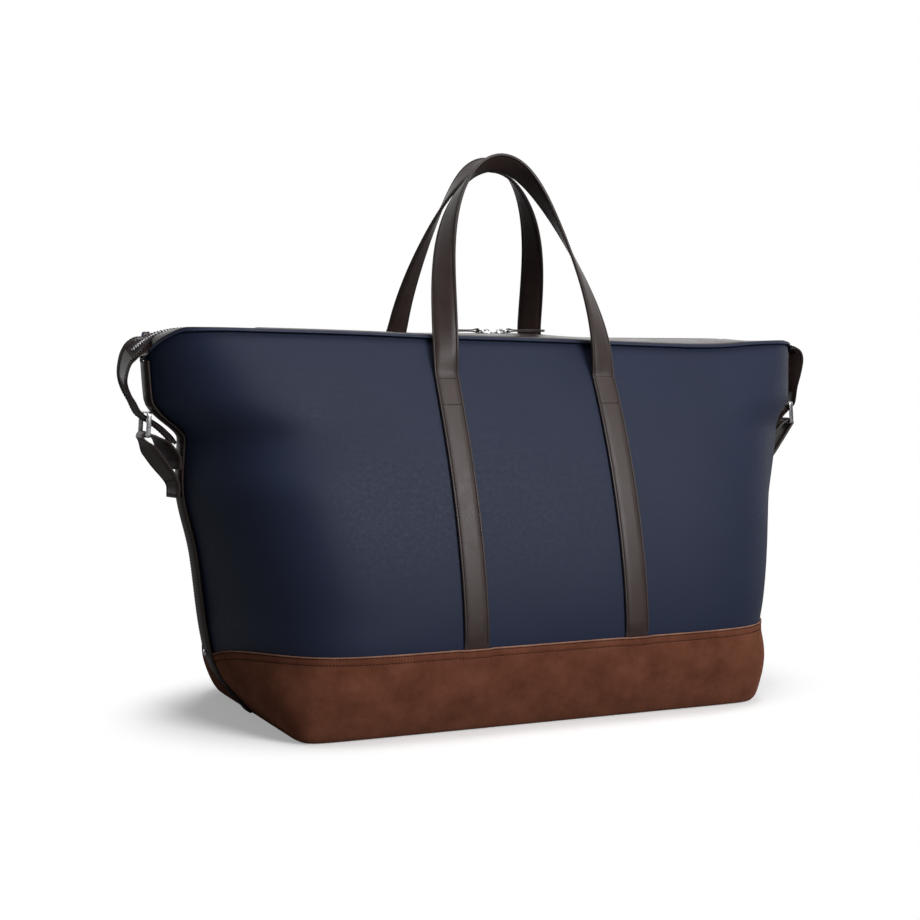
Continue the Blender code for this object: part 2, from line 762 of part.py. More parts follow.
def make_sliders():
    """Two plates joined by a wedge, with a channel for the teeth and a bridge for the pull."""
    half, side_half = SLIDER_LENGTH / 2, SLIDER_WIDTH / 2
    channel = TEETH_HEIGHT / 2 + GAP
    closed = TEETH_WIDTH + 2 * GAP
    opened = closed + TEETH_PARTING
    end = half + 2 * GAP
    one_side = [
        (end, closed),
        (SLIDER_FORK, closed),
        (-end, opened),
        (-end, SLIDER_POST / 2),
    ]
    y_channel = [*one_side, (-SLIDER_WEDGE, 0), *[(x, -y) for x, y in one_side[::-1]]]
    roof = SLIDER_TOP + BRIDGE_HEIGHT
    for name, side in SIDES:
        slider = box(
            f"{name}_slider",
            (-half, -side_half, -SLIDER_TOP),
            (half, side_half, SLIDER_TOP),
            NICKEL,
        )
        combine(slider, prism("channel", y_channel, -channel, channel, NICKEL, CUTTERS), "DIFFERENCE")
        for face in (FRONT, REAR):
            near, far = sorted((face * (closed - GAP), face * (side_half + GAP)))
            slit = box("slit", (-end, near, -SLIT / 2), (end, far, SLIT / 2), NICKEL, CUTTERS)
            combine(slider, slit, "DIFFERENCE")
        bridge = box(
            "bridge",
            (-BRIDGE_LENGTH / 2, -BRIDGE_WIDTH / 2, SLIDER_TOP - SLIDER_PLATE / 2),
            (BRIDGE_LENGTH / 2, BRIDGE_WIDTH / 2, roof),
            NICKEL,
            CUTTERS,
        )
        combine(slider, bridge, "UNION")
        hole = box(
            "bridge_hole",
            (-BRIDGE_HOLE / 2, -BRIDGE_WIDTH, SLIDER_TOP + GAP),
            (BRIDGE_HOLE / 2, BRIDGE_WIDTH, roof - SLIDER_PLATE),
            NICKEL,
            CUTTERS,
        )
        combine(slider, hole, "DIFFERENCE")
        turn_round(slider, side)
        slider.location = (side * SLIDER_REST, ZIP_Y, ZIP_Z)


def make_pull_ring(name, side, hinge):
    around, wire = PULL_SEGMENTS
    bpy.ops.mesh.primitive_torus_add(
        major_radius=PULL_RADIUS,
        minor_radius=PULL_WIRE,
        major_segments=around,
        minor_segments=wire,
    )
    ring = bpy.context.object
    for collection in list(ring.users_collection):
        collection.objects.unlink(ring)
    BAG.objects.link(ring)
    ring.name = f"{name}_pull_ring"
    ring.data.materials.append(NICKEL)
    ring.data.shade_smooth()
    ring.data.transform(Matrix.Translation((side * PULL_RADIUS, 0, 0)))
    ring.location = hinge


def make_pull_tab(name, side, hinge):
    """A leather tab folded round the far side of its ring."""
    far = 2 * PULL_RADIUS
    clear = PULL_WIRE + 2 * GAP
    loop = clear + FOLD
    neck = far + TAB_NECK_LENGTH
    tip = far + TAB_LENGTH
    edge = [
        (far - loop, TAB_NECK / 2),
        (neck, TAB_NECK / 2),
        (neck + TAB_TAPER, TAB_WIDTH / 2),
        (tip - TAB_TIP_LENGTH, TAB_WIDTH / 2),
        (tip, TAB_TIP_WIDTH / 2),
    ]
    outline = edge + [(x, -y) for x, y in edge[::-1]]
    tab = prism(f"{name}_pull_tab", outline, -TAB / 2, TAB / 2, BROWN_LEATHER)
    fold = box(
        "fold",
        (far - loop - GAP, -TAB_NECK / 2, -loop),
        (far + loop, TAB_NECK / 2, loop),
        BROWN_LEATHER,
        CUTTERS,
    )
    combine(tab, fold, "UNION")
    bore = box(
        "bore",
        (far - clear - GAP, -TAB_NECK, -clear),
        (far + clear, TAB_NECK, clear),
        BROWN_LEATHER,
        CUTTERS,
    )
    combine(tab, bore, "DIFFERENCE")
    turn_round(tab, side)
    tab.location = hinge


def make_pulls():
    for name, side in SIDES:
        hinge = (side * SLIDER_REST, ZIP_Y, PULL_Z)
        make_pull_ring(name, side, hinge)
        make_pull_tab(name, side, hinge)


# Sewn straps and handles


def strap_point(x, z, face):
    """The middle of a strap sewn to a panel."""

    def surface(height):
        return Vector((x, lean(height) + face * depth_at(x, height), height))

    up = surface(z + STEP_UP) - surface(z - STEP_UP)
    normal = Vector((0, face * up.z, -face * up.y)).normalized()
    return surface(z) + normal * (SEW_GAP + STRAP / 2)


def make_straps():
    """The straps sewn up the panels, which end where the handles begin.

    Their ends are pared away so that a handle can lie down over them.
    """
    low, high = BOOT_HEIGHT + SEW_GAP, HANDLE_HEIGHT - STRAP / 2 - GAP
    levels = np.linspace(low, high, STRAP_ROWS)
    across = [Vector((1, 0, 0))] * STRAP_ROWS
    for face_name, face in FACES:
        for name, side in SIDES:
            path = [strap_point(side * STRAP_SPREAD, z, face) for z in levels]
            strap = band(f"{face_name}_{name}_strap", path, across, STRAP_WIDTH, STRAP, BROWN_LEATHER)
            near, far = sorted((face * (STRAP / 2 + PARE_GAP), -face * STRAP_WIDTH))
            low_end = (-STRAP_WIDTH, near, -STRAP_WIDTH)
            paring = box("paring", low_end, (STRAP_WIDTH, far, STRAP_WIDTH), BROWN_LEATHER, CUTTERS)
            paring.location = strap_point(side * STRAP_SPREAD, HANDLE_HEIGHT, face)
            paring.rotation_euler.x = -face * HANDLE_SWING
            combine(strap, paring, "DIFFERENCE")


def handle_centre(angle, face):
    """The strap's middle on half an ellipse, drawn in towards the other handle as it rises."""
    foot = strap_point(STRAP_SPREAD, HANDLE_HEIGHT, face)
    rise = math.sin(angle)
    out = abs(foot.y - ZIP_Y)
    away = HANDLE_APEX + (out - HANDLE_APEX) * (1 + math.cos(math.pi * rise)) / 2
    spread = STRAP_SPREAD - HANDLE_PINCH[face] * ease(rise / PINCH_RISE)
    return Vector((spread * math.cos(angle), ZIP_Y + face * away, HANDLE_HEIGHT + HANDLE_RISE * rise))


def square_to(direction, along):
    return (direction - along * direction.dot(along)).normalized()


def make_handles():
    """Each strap faces outwards at its feet and turns over to lie in the hand at its top."""
    step = math.pi / HANDLE_ROWS
    for name, face in FACES:
        centres, across = [], []
        for i in range(HANDLE_ROWS + 1):
            angle = math.pi - step * i
            ahead = handle_centre(max(angle - STEP_ROUND, 0), face)
            behind = handle_centre(min(angle + STEP_ROUND, math.pi), face)
            along = (ahead - behind).normalized()
            over = math.sin(angle) / HANDLE_RISE
            arch = Vector((math.cos(angle) / STRAP_SPREAD, -face * math.tan(HANDLE_TILT) * over, over))
            arch = square_to(arch, along)
            plain = square_to(square_to(Vector((0, face, 0)), along), arch)
            share = 1 - abs(1 - 2 * i / HANDLE_ROWS)
            twist = math.pi / 2 * (1 - (1 - share) ** HANDLE_TWIST)
            normal = plain * math.cos(twist) + arch * math.sin(twist)
            centres.append(handle_centre(angle, face))
            across.append(along.cross(normal).normalized())
        handle = band(f"{name}_handle", centres, across, STRAP_WIDTH, STRAP, BROWN_LEATHER)
        pivot(handle, (0, handle_centre(0, face).y, HANDLE_HEIGHT))


make_base()
make_panels()
make_lining()
make_strips()
make_rivets()
make_chapes()
make_rings()
make_facings()
make_zip()
make_tails()
make_zip_ends()
make_sliders()
make_pulls()
make_straps()
make_handles()
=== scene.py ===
"""A weekender bag: navy nylon over a suede boot, with leather straps, handles and facings.

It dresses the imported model. Metres, +Z up: X runs along the bag and the front is at -Y.
"""

import math
from functools import lru_cache

import bmesh
import bpy
import numpy as np
from mathutils import Matrix, Vector, noise


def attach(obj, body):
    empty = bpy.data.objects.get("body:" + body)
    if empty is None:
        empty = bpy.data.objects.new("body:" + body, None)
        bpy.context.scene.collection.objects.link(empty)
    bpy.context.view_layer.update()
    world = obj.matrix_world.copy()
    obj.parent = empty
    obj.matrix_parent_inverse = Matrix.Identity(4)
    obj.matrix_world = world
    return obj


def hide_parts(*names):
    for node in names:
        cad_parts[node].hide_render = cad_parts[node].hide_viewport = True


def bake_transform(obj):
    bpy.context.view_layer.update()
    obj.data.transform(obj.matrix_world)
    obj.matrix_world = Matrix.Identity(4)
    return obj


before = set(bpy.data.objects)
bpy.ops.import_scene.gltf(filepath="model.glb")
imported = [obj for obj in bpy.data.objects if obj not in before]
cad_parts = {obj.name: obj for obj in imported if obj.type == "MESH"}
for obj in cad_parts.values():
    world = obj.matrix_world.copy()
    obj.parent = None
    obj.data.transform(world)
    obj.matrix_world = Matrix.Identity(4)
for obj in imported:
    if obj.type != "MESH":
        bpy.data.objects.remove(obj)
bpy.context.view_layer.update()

FRONT, REAR = -1, 1
LEFT, RIGHT = -1, 1
SIDES = (("left", LEFT), ("right", RIGHT))
FACES = (("front", FRONT), ("rear", REAR))

# The camera, from the corners of the base in the picture
PICTURE = 920
FOCUS = 1762.7  # in pixels
CAMERA = (-0.7537, -1.6335, 0.3672)
CAMERA_TURN = math.radians(24.02)
CAMERA_DIP = math.radians(3.91)

# The body, as it is cut
BASE_LENGTH, BASE_DEPTH, BODY_HEIGHT = 0.4860, 0.2810, 0.3645
BOOT_HEIGHT, BOOT_END_HEIGHT, BOOT_SWEEP, BOOT_DEPTH = 0.0830, 0.0640, 8, 0.3320
KNEE_HEIGHT, KNEE_REACH, BOOT_REACH = 0.0600, 0.2880, 0.2950
WAIST_HEIGHT, WAIST_REACH = 0.2750, {LEFT: 0.3215, RIGHT: 0.3265}
# Where the left chape draws its seam out: heights and reaches
SEAM_DRAWN = {LEFT: ((0.1650, 0.3078), (0.2350, 0.3228)), RIGHT: ()}
FLARE_HEIGHT, FLARE = 0.3100, 0.88
WING_REACH = {LEFT: 0.3580, RIGHT: 0.3490}
# How far each panel's top drops to the end seams, and where along the panel that starts
WING_DROOP = {LEFT: 0.0260, RIGHT: 0.0100}
DROOP_START = {FRONT: 0.86, REAR: 0.952}
MOUTH_DEPTH, TOP_LEAN = 0.1120, 0.0230
SQUARENESS = ((0, 20), (BOOT_HEIGHT, 9), (WAIST_HEIGHT, 9), (BODY_HEIGHT, 16))
BASE_RIDGE, SHOULDER_CURVE = 0.05, 1.52
ZIP_Y = -TOP_LEAN

# How the half full bag has settled: places along it, and how far its top has moved up or down
SETTLE_FROM, SETTLE_RISE = 0.285, 0.07
FRONT_SETTLE = (
    (-0.40, 0.0120), (-0.30, 0.0122), (-0.25, 0.0108), (-0.20, 0.0095),
    (-0.15, 0.0078), (-0.10, 0.0055), (-0.05, 0.0040), (0.00, 0.0027),
    (0.05, 0.0010), (0.10, -0.0010), (0.15, -0.0028), (0.20, -0.0044),
    (0.235, -0.0042), (0.27, -0.0014), (0.30, 0.0000), (0.40, 0.0000),
)
ZIP_SETTLE = (
    (-0.40, 0.0045), (-0.33, 0.0045), (-0.290, 0.0000), (0.04, 0.0000),
    (0.07, -0.0030), (0.10, -0.0042), (0.20, -0.0046), (0.25, -0.0050),
    (0.27, -0.0060), (0.31, -0.0085), (0.40, -0.0085),
)
SETTLE_STEPS = np.linspace(-0.42, 0.42, 421)
CORNER_FULLNESS = 0.0070

# Leather, cloth and thread
STRAP, STRAP_WIDTH, STRAP_SPREAD = 0.0030, 0.0250, 0.0845
HANDLE_HEIGHT, HANDLE_RISE, HANDLE_APEX = 0.3310, 0.2115, 0.0135
HANDLE_PINCH, PINCH_RISE = {FRONT: 0.0, REAR: 0.0075}, 0.25
# How fast the left and right legs of each handle turn, and how far its top leans
HANDLE_TWIST = {FRONT: (1.6, 1.7), REAR: (1.0, 1.6)}
HANDLE_TILT = math.radians(38)
SUEDE, NYLON, LINING = 0.0016, 0.0010, 0.0008
STRIP, STRIP_GAP, STRIP_WIDTH = 0.0020, 0.0010, 0.0250
STRIP_LIFT, STRIP_FOOT = 0.0008, 0.0085
STITCH_PITCH, STITCH_LENGTH, THREAD = 0.0030, 0.0021, 0.00052
STITCH_INSET, THREAD_STAND = 0.0023, 0.0001
STITCH_ROWS = (0.305, 0.330)  # heights of the rows across each strap
TUCK = 0.0078  # how far a strap goes down behind the boot

# Zip, facings, tails and fittings
FACING, FACING_EDGE, ZIP_RISE, ZIP_SLOT, LIP_END = 0.0022, 0.3659, 0.0063, 0.0080, 0.2620
ZIP_Z = FACING_EDGE + ZIP_RISE
TEETH_PITCH, TEETH_WIDTH = 0.0025, 0.0026
TEETH_PARTING, INTERLOCK, TAPE = 0.0019, 0.0006, 0.0008
SLIDER_REST, SLIDER_LENGTH, SLIDER_WIDTH, SLIDER_PLATE = 0.0082, 0.0130, 0.0104, 0.0012
SLIDER_TOP = 0.0027
BRIDGE_LENGTH, BRIDGE_WIDTH, BRIDGE_HEIGHT = 0.0080, 0.0022, 0.0034
PULL_Z, PULL_RADIUS, PULL_WIRE = 0.37615, 0.0047, 0.0008
TAB_LENGTH, TAB_WIDTH, TAB_NECK = 0.0400, 0.0090, 0.0050
TAIL, TAIL_WIDTH = 0.0026, 0.0250
RING_STAND = {LEFT: 0.0345, RIGHT: 0.0260}
RING_LIFT, RING_TILT, RING_HEIGHT = 0.0025, math.radians(4), 0.0225
RING_WALL, RING_BAND, RING_INNER = 0.0018, 0.0045, 0.0143
CHAPE, CHAPE_DROP, CHAPE_SEWN = 0.0022, {LEFT: 0.0410, RIGHT: 0.0485}, 0.0150
CHAPE_LOOP, CHAPE_SLOPE = 0.0038, {LEFT: 0.38, RIGHT: 0.0}
# How the inner ply comes back down from the ring, from its lower bar
CHAPE_BACK = {
    LEFT: (
        (-0.0090, -0.0002),
        (-0.0150, -0.0055),
        (-0.0220, -0.0138),
        (-0.0274, -0.0215),
        (-0.0274, -0.0315),
    ),
    RIGHT: (
        (-0.0085, -0.0010),
        (-0.0140, -0.0065),
        (-0.0195, -0.0140),
        (-0.0234, -0.0205),
        (-0.0242, -0.0300),
    ),
}
RIVET_HEIGHT, RIVET_RADIUS, RIVET_RISE = 0.0680, 0.0035, 0.0016


# Nodes and finishes


def hex_colour(code):
    """An sRGB hex value as linear red, green, blue and alpha."""
    parts = [int(code[i : i + 2], 16) / 255 for i in (1, 3, 5)]
    return (*[c / 12.92 if c <= 0.04045 else ((c + 0.055) / 1.055) ** 2.4 for c in parts], 1)


def add_node(tree, kind, inputs=None, **settings):
    """Adds a node: each input is a value, or the output that it is linked from."""
    made = tree.nodes.new("ShaderNode" + kind)
    for name, value in settings.items():
        setattr(made, name, value)
    for socket, value in (inputs or {}).items():
        if isinstance(value, bpy.types.NodeSocket):
            tree.links.new(value, made.inputs[socket])
        else:
            made.inputs[socket].default_value = value
    return made


def math_node(tree, operation, *values):
    inputs = dict(enumerate(values))
    return add_node(tree, "Math", inputs, operation=operation).outputs[0]


def mix_colours(tree, share, dark, light):
    """A colour between two, given as hex values."""
    inputs = {0: share, 6: hex_colour(dark), 7: hex_colour(light)}
    return add_node(tree, "Mix", inputs, data_type="RGBA").outputs[2]


def lumps(tree, place, size, detail, **more):
    """Noise with lumps of about this size in metres."""
    inputs = {"Vector": place, "Scale": 1 / size, "Detail": detail, **more}
    return add_node(tree, "TexNoise", inputs).outputs[0]


def remap(tree, value, *limits):
    """The value taken from between the first two limits to between the last two."""
    inputs = {0: value, **dict(enumerate(limits, 1))}
    return add_node(tree, "MapRange", inputs).outputs[0]


def relief(tree, height, strength, distance):
    inputs = {"Height": height, "Strength": strength, "Distance": distance}
    return add_node(tree, "Bump", inputs).outputs[0]


def places_on(tree, kind="UV"):
    """Places on the piece: flat on its sheet, or in its own space."""
    return add_node(tree, "TexCoord").outputs[kind]


def new_finish(name, **sockets):
    """A material with these values set on its shader."""
    material = bpy.data.materials.new(name)
    material.use_nodes = True
    tree = material.node_tree
    shader = tree.nodes["Principled BSDF"]
    for socket, value in sockets.items():
        shader.inputs[socket.replace("_", " ")].default_value = value
    return material, tree, shader


def drive(tree, shader, **sockets):
    """Links these outputs to the shader."""
    for socket, output in sockets.items():
        tree.links.new(output, shader.inputs[socket.replace("_", " ")])


def woven_nylon(name, dark, light, thread, sheen):
    """Tightly woven nylon, pressed smooth: a thread grid, a low sheen and slow changes of tone."""
    material, tree, shader = new_finish(
        name, Sheen_Weight=sheen, Sheen_Roughness=0.45, Specular_IOR_Level=0.20
    )
    flat = places_on(tree)
    turns = {0: flat, 1: (2 * math.pi / thread,) * 3}
    turns = add_node(tree, "VectorMath", turns, operation="MULTIPLY").outputs[0]
    parts = add_node(tree, "SeparateXYZ", {0: turns})
    warp, weft = (math_node(tree, "SINE", parts.outputs[i]) for i in (0, 1))
    weave = math_node(tree, "MULTIPLY", warp, weft)
    slow = lumps(tree, flat, 0.08, 3)
    slub = lumps(tree, flat, 0.004, 2)
    tone = math_node(tree, "MULTIPLY_ADD", slow, slub, 0.1)
    tone = math_node(tree, "MULTIPLY_ADD", weave, 0.10, tone)
    drive(
        tree,
        shader,
        Base_Color=mix_colours(tree, tone, dark, light),
        Roughness=remap(tree, slub, 0.3, 0.7, 0.50, 0.62),
        Normal=relief(tree, weave, 0.25, 0.00008),
    )
    return material


def napped_suede(name, dark, light, nap):
    """Brushed split hide: matt, with soft clouds where the nap lies over and a fine fibre."""
    material, tree, shader = new_finish(
        name, Sheen_Weight=0.30, Sheen_Roughness=0.5, Specular_IOR_Level=0.05, Roughness=0.95
    )
    shader.inputs["Sheen Tint"].default_value = hex_colour("#c08a70")
    flat = places_on(tree)
    cloud = lumps(tree, flat, 0.038, 4, Roughness=0.62)
    fleck = lumps(tree, flat, 0.007, 3, Distortion=0.8)
    fibre = lumps(tree, flat, nap, 2)
    tone = remap(tree, cloud, 0.34, 0.66, 0.0, 0.75)
    tone = math_node(tree, "MULTIPLY_ADD", fleck, 0.38, tone)
    tone = math_node(tree, "MULTIPLY_ADD", fibre, 0.30, tone)
    tone = math_node(tree, "SUBTRACT", tone, 0.20)
    height = math_node(tree, "MULTIPLY_ADD", fleck, 0.7, fibre)
    drive(
        tree,
        shader,
        Base_Color=mix_colours(tree, tone, dark, light),
        Normal=relief(tree, height, 0.5, 0.0005),
    )
    return material


def smooth_leather(name, dark, light, rough, grain, shine=0.38):
    """Full grain leather with a soft wax finish: fine pores, and broad patches of gloss."""
    material, tree, shader = new_finish(name, Specular_IOR_Level=shine)
    flat = places_on(tree)
    pores = {"Vector": flat, "Scale": 1 / grain}
    pores = add_node(tree, "TexVoronoi", pores, feature="DISTANCE_TO_EDGE").outputs[0]
    pore = remap(tree, pores, 0.0, 0.18, 0.0, 1.0)
    patch = lumps(tree, flat, 0.018, 4)
    tone = math_node(tree, "MULTIPLY_ADD", pore, 0.22, patch)
    tone = math_node(tree, "SUBTRACT", tone, 0.12)
    drive(
        tree,
        shader,
        Base_Color=mix_colours(tree, tone, dark, light),
        Roughness=remap(tree, patch, 0.3, 0.7, rough - 0.05, rough + 0.07),
        Normal=relief(tree, pore, 0.30, 0.00012),
    )
    return material


def twisted_thread(name, dark, light):
    """Bonded polyester thread in two twisted strands, with slanted bands of painted highlight where the
    twist would catch the light.
    """
    material, tree, shader = new_finish(name, Roughness=0.75, Specular_IOR_Level=0.1)
    # The slanted lighter bands are painted highlight along the twist
    ply_highlight = {"Vector": places_on(tree, "Object"), "Scale": 1 / 0.004, "Distortion": 1.0}
    ply_highlight = add_node(tree, "TexWave", ply_highlight, bands_direction="DIAGONAL").outputs[1]
    drive(tree, shader, Base_Color=mix_colours(tree, ply_highlight, dark, light))
    return material


def plated_nickel(name, tint, rough):
    """Bright nickel on die-cast metal: mirror-like, broken by fine handling marks."""
    material, tree, shader = new_finish(name, Metallic=1.0)
    place = places_on(tree, "Object")
    stretched = {0: place, 1: (1.0, 6.0, 1.0)}
    stretched = add_node(tree, "VectorMath", stretched, operation="MULTIPLY").outputs[0]
    marks = lumps(tree, stretched, 0.0015, 3)
    cast = lumps(tree, place, 0.006, 1)
    drive(
        tree,
        shader,
        Base_Color=mix_colours(tree, cast, tint, "#d9d9dc"),
        Roughness=remap(tree, marks, 0.35, 0.7, rough, rough + 0.12),
    )
    return material


def pressed_board(name, dark, light):
    """Grey fibreboard: pressed flat, with short fibres lying every way."""
    material, tree, shader = new_finish(name, Roughness=0.9)
    fibres = lumps(tree, places_on(tree, "Object"), 0.003, 5, Distortion=2.0)
    drive(
        tree,
        shader,
        Base_Color=mix_colours(tree, fibres, dark, light),
        Normal=relief(tree, fibres, 0.3, 0.0002),
    )
    return material


# Nylon threads lie 0.3 mm apart, too fine to show, so each weave is drawn coarser
NAVY_NYLON = woven_nylon("navy_nylon", "#1b2237", "#252d44", 0.0014, 0.03)
LINING_CLOTH = woven_nylon("lining_cloth", "#1c2232", "#242b3d", 0.0018, 0.05)
ZIP_CLOTH = woven_nylon("zip_cloth", "#191413", "#2a2322", 0.0012, 0.05)
BROWN_SUEDE = napped_suede("brown_suede", "#5a3425", "#7a4b39", 0.0012)
# A lighter copy of the suede for the boot's top edge and cut sides: a painted highlight along the edge
SUEDE_EDGE_HIGHLIGHT = napped_suede("suede_edge_highlight", "#80594a", "#a98572", 0.0012)
BROWN_LEATHER = smooth_leather("brown_leather", "#281d1b", "#3b2d2a", 0.42, 0.0013)
FACING_LEATHER = smooth_leather("facing_leather", "#241a19", "#342825", 0.28, 0.0013, 0.54)
EDGE_PAINT = smooth_leather("edge_paint", "#2b211f", "#3a302c", 0.42, 0.0020)
PRESSED_LEATHER = smooth_leather("pressed_leather", "#2c221f", "#3c312d", 0.50, 0.0013)
BROWN_THREAD = twisted_thread("brown_thread", "#0e0908", "#1c1413")
SUEDE_THREAD = twisted_thread("suede_thread", "#22110b", "#3a2017")
NICKEL = plated_nickel("nickel", "#bfc0c4", 0.20)
FIBREBOARD = pressed_board("fibreboard", "#4b4038", "#6d6056")


# Meshes


def ease(t):
    t = np.clip(t, 0.0, 1.0)
    return t * t * (3 - 2 * t)


def unit(v):
    v = np.asarray(v, float)
    return v / np.maximum(np.linalg.norm(v, axis=-1, keepdims=True), 1e-12)


def run_along(points):
    """Distances along a line of points from its start."""
    return np.concatenate([[0], np.cumsum(np.linalg.norm(np.diff(points, axis=0), axis=1))])


def points_at(at, length, points):
    """Points at these distances along a line whose own distances are given."""
    return np.stack([np.interp(at, length, axis) for axis in points.T], axis=1)


def link(thing):
    bpy.context.scene.collection.objects.link(thing)


def new_piece(name, points, faces, finishes, corners=None, kinds=None, sharp=35):
    """A piece from its points and faces; corners are the flat places of the faces' corners."""
    mesh = bpy.data.meshes.new(name)
    mesh.from_pydata(np.asarray(points).tolist(), [], faces)
    for finish in finishes:
        mesh.materials.append(finish)
    if kinds is not None:
        mesh.polygons.foreach_set("material_index", kinds)
    if corners is not None:
        flat = mesh.uv_layers.new(name="flat")
        flat.data.foreach_set("uv", np.asarray(corners, np.float32).ravel())
    shape = bmesh.new()
    shape.from_mesh(mesh)
    bmesh.ops.recalc_face_normals(shape, faces=shape.faces)
    shape.to_mesh(mesh)
    shape.free()
    mesh.shade_smooth()
    mesh.set_sharp_from_angle(angle=math.radians(sharp))
    piece = bpy.data.objects.new(name, mesh)
    link(piece)
    return piece


def place(piece, body, slot, *nodes):
    """The piece rides on a body and stands for these nodes, whose parts are hidden; the slot is not used.
    """
    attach(piece, body)
    if nodes:
        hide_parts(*nodes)
    return piece


def across_grid(points):
    """Distances along the rows and columns of a grid, for laying a pattern flat on it."""
    along = np.linalg.norm(np.diff(points, axis=0), axis=2)
    over = np.linalg.norm(np.diff(points, axis=1), axis=2)
    v = np.vstack([np.zeros((1, points.shape[1])), np.cumsum(along, axis=0)])
    u = np.hstack([np.zeros((points.shape[0], 1)), np.cumsum(over, axis=1)])
    middle = u[:, u.shape[1] // 2][:, None]
    return np.stack([u - middle, v], axis=2)


def grid_normals(points, like):
    """Unit normals of a grid, on the side that like points to."""
    rows = np.gradient(points, axis=0)
    cols = np.gradient(points, axis=1)
    normals = unit(np.cross(rows, cols))
    if np.sum(normals * like) < 0:
        normals = -normals
    return normals


def shell(name, points, normals, thickness, finish, edge=None, slot=(), edge_rows=0):
    """A closed sheet under a grid of points; the slot lists quads left out, as (row, column).

    Its sides, and this many of its last rows, take the edge's finish.
    """
    height, width = points.shape[:2]
    thick = np.broadcast_to(np.asarray(thickness, float), points.shape[:2])[..., None]
    both = np.concatenate([points.reshape(-1, 3), (points - normals * thick).reshape(-1, 3)])
    flat = across_grid(points).reshape(-1, 2)
    below = height * width
    gone = set(slot)
    faces, corners, kinds, sides = [], [], [], {}
    for r in range(height - 1):
        for c in range(width - 1):
            if (r, c) in gone:
                continue
            quad = [r * width + c, r * width + c + 1, (r + 1) * width + c + 1, (r + 1) * width + c]
            faces.append(quad)
            faces.append([below + i for i in quad[::-1]])
            corners += [flat[i] for i in quad] + [flat[i] for i in quad[::-1]]
            kinds += [int(r >= height - 1 - edge_rows), 0]
            for a, b in zip(quad, quad[1:] + quad[:1]):
                if (b, a) in sides:
                    del sides[(b, a)]
                else:
                    sides[(a, b)] = True
    rim = 0 if edge is None else 1
    step = np.array([0.0, float(np.mean(thick))])
    for a, b in sides:
        faces.append([b, a, below + a, below + b])
        corners += [flat[b], flat[a], flat[a] + step, flat[b] + step]
        kinds.append(rim)
    return new_piece(name, both, faces, [finish] if edge is None else [finish, edge], corners, kinds)


def sweep(name, rings, finish, bands=(), closed=False):
    """A solid through rings of points, with flat ends, or closed into a loop.

    Each band is another finish and the columns that take it; the first band's is on the ends too.
    """
    rings = np.asarray(rings, float)
    count, size = rings.shape[:2]
    along = run_along(rings.mean(1))
    loop = np.concatenate([rings[0], rings[0][:1]])
    around = run_along(loop)
    faces, corners, kinds = [], [], []
    kind_of = {c: k + 1 for k, (_, columns) in enumerate(bands) for c in columns}
    for r in range(count if closed else count - 1):
        s = (r + 1) % count
        far = along[s] if s else along[-1] + along[1]
        for c in range(size):
            d = (c + 1) % size
            faces.append([r * size + c, r * size + d, s * size + d, s * size + c])
            corners += [
                (around[c], along[r]),
                (around[c + 1], along[r]),
                (around[c + 1], far),
                (around[c], far),
            ]
            kinds.append(kind_of.get(c, 0))
    if not closed:
        for start in (0, (count - 1) * size):
            faces.append(list(range(start, start + size)))
            corners += [(around[c], 0.0) for c in range(size)]
            kinds.append(1 if bands else 0)
    finishes = [finish] + [band for band, _ in bands]
    return new_piece(name, rings.reshape(-1, 3), faces, finishes, corners, kinds)


def strap_section(width, thickness, inset=STITCH_INSET, groove=0.00040, crown=0.00012):
    """Across and out offsets of a strap: rounded edges, and a groove for each row of stitches."""
    half, t = width / 2, thickness / 2
    line = half - inset
    top = [
        (-half, 0.35 * t),
        (-half + 0.30 * t, 0.86 * t),
        (-half + 0.75 * t, t),
        (-line - 0.0007, t),
        (-line, t - groove),
        (-line + 0.0007, t),
        (-line / 2, t + crown),
        (line / 2, t + crown),
        (line - 0.0007, t),
        (line, t - groove),
        (line + 0.0007, t),
        (half - 0.75 * t, t),
        (half - 0.30 * t, 0.86 * t),
        (half, 0.35 * t),
    ]
    return np.array(top + [(a, -n) for a, n in top[::-1]])


# The columns of a strap's section under its upper stitches; a column and the one below add to UNDER
GROOVES, UNDER = (4, 9), 27
# The columns of a strap's section that are painted edge, and pressed under the stitches
STRAP_BANDS = (
    (EDGE_PAINT, (0, 1, 11, 12, 13, 14, 15, 25, 26, 27)),
    (PRESSED_LEATHER, (3, 4, 8, 9, 17, 18, 22, 23)),
)


def tube_faces(start, rings, size):
    """Faces of a small closed tube whose points follow one another, ring by ring, from start."""
    faces = []
    for r in range(rings - 1):
        i = start + r * size
        for c in range(size):
            d = (c + 1) % size
            faces.append([i + c, i + d, i + size + d, i + size + c])
    last = start + (rings - 1) * size
    return faces + [list(range(start, start + size)), list(range(last, last + size))]


def stitch_run(name, runs, finish, radius=THREAD, length=STITCH_LENGTH):
    """Stitches: each run gives the places, directions and outward normals of its stitches."""
    shape = ((-1.0, 0.45, -1.3), (-0.55, 1.0, 0.25), (0.55, 1.0, 0.25), (1.0, 0.45, -1.3))
    turns = np.arange(5) * 2 * math.pi / 5
    points, faces = [], []
    for places, along, out in runs:
        side = unit(np.cross(along, out))
        for p, a, o, s in zip(places, along, out, side):
            start = len(points)
            for t, swell, lift in shape:
                middle = p + a * (t * length / 2) + o * (lift * radius)
                for turn in turns:
                    points.append(middle + (s * math.cos(turn) + o * math.sin(turn)) * radius * swell)
            faces += tube_faces(start, len(shape), len(turns))
    return new_piece(name, points, faces, [finish])


def stitch_places(points, normals, pitch=STITCH_PITCH, stand=THREAD_STAND):
    """Spreads stitches along a line of points, as places, directions and normals."""
    points, normals = np.asarray(points, float), unit(normals)
    length = run_along(points)
    count = max(int(length[-1] / pitch), 1)
    at = (np.arange(count) + 0.5) * length[-1] / count
    here = points_at(at, length, points)
    ahead = points_at(at + pitch / 4, length, points)
    behind = points_at(at - pitch / 4, length, points)
    out = unit(points_at(at, length, normals))
    return here + out * stand, unit(ahead - behind), out


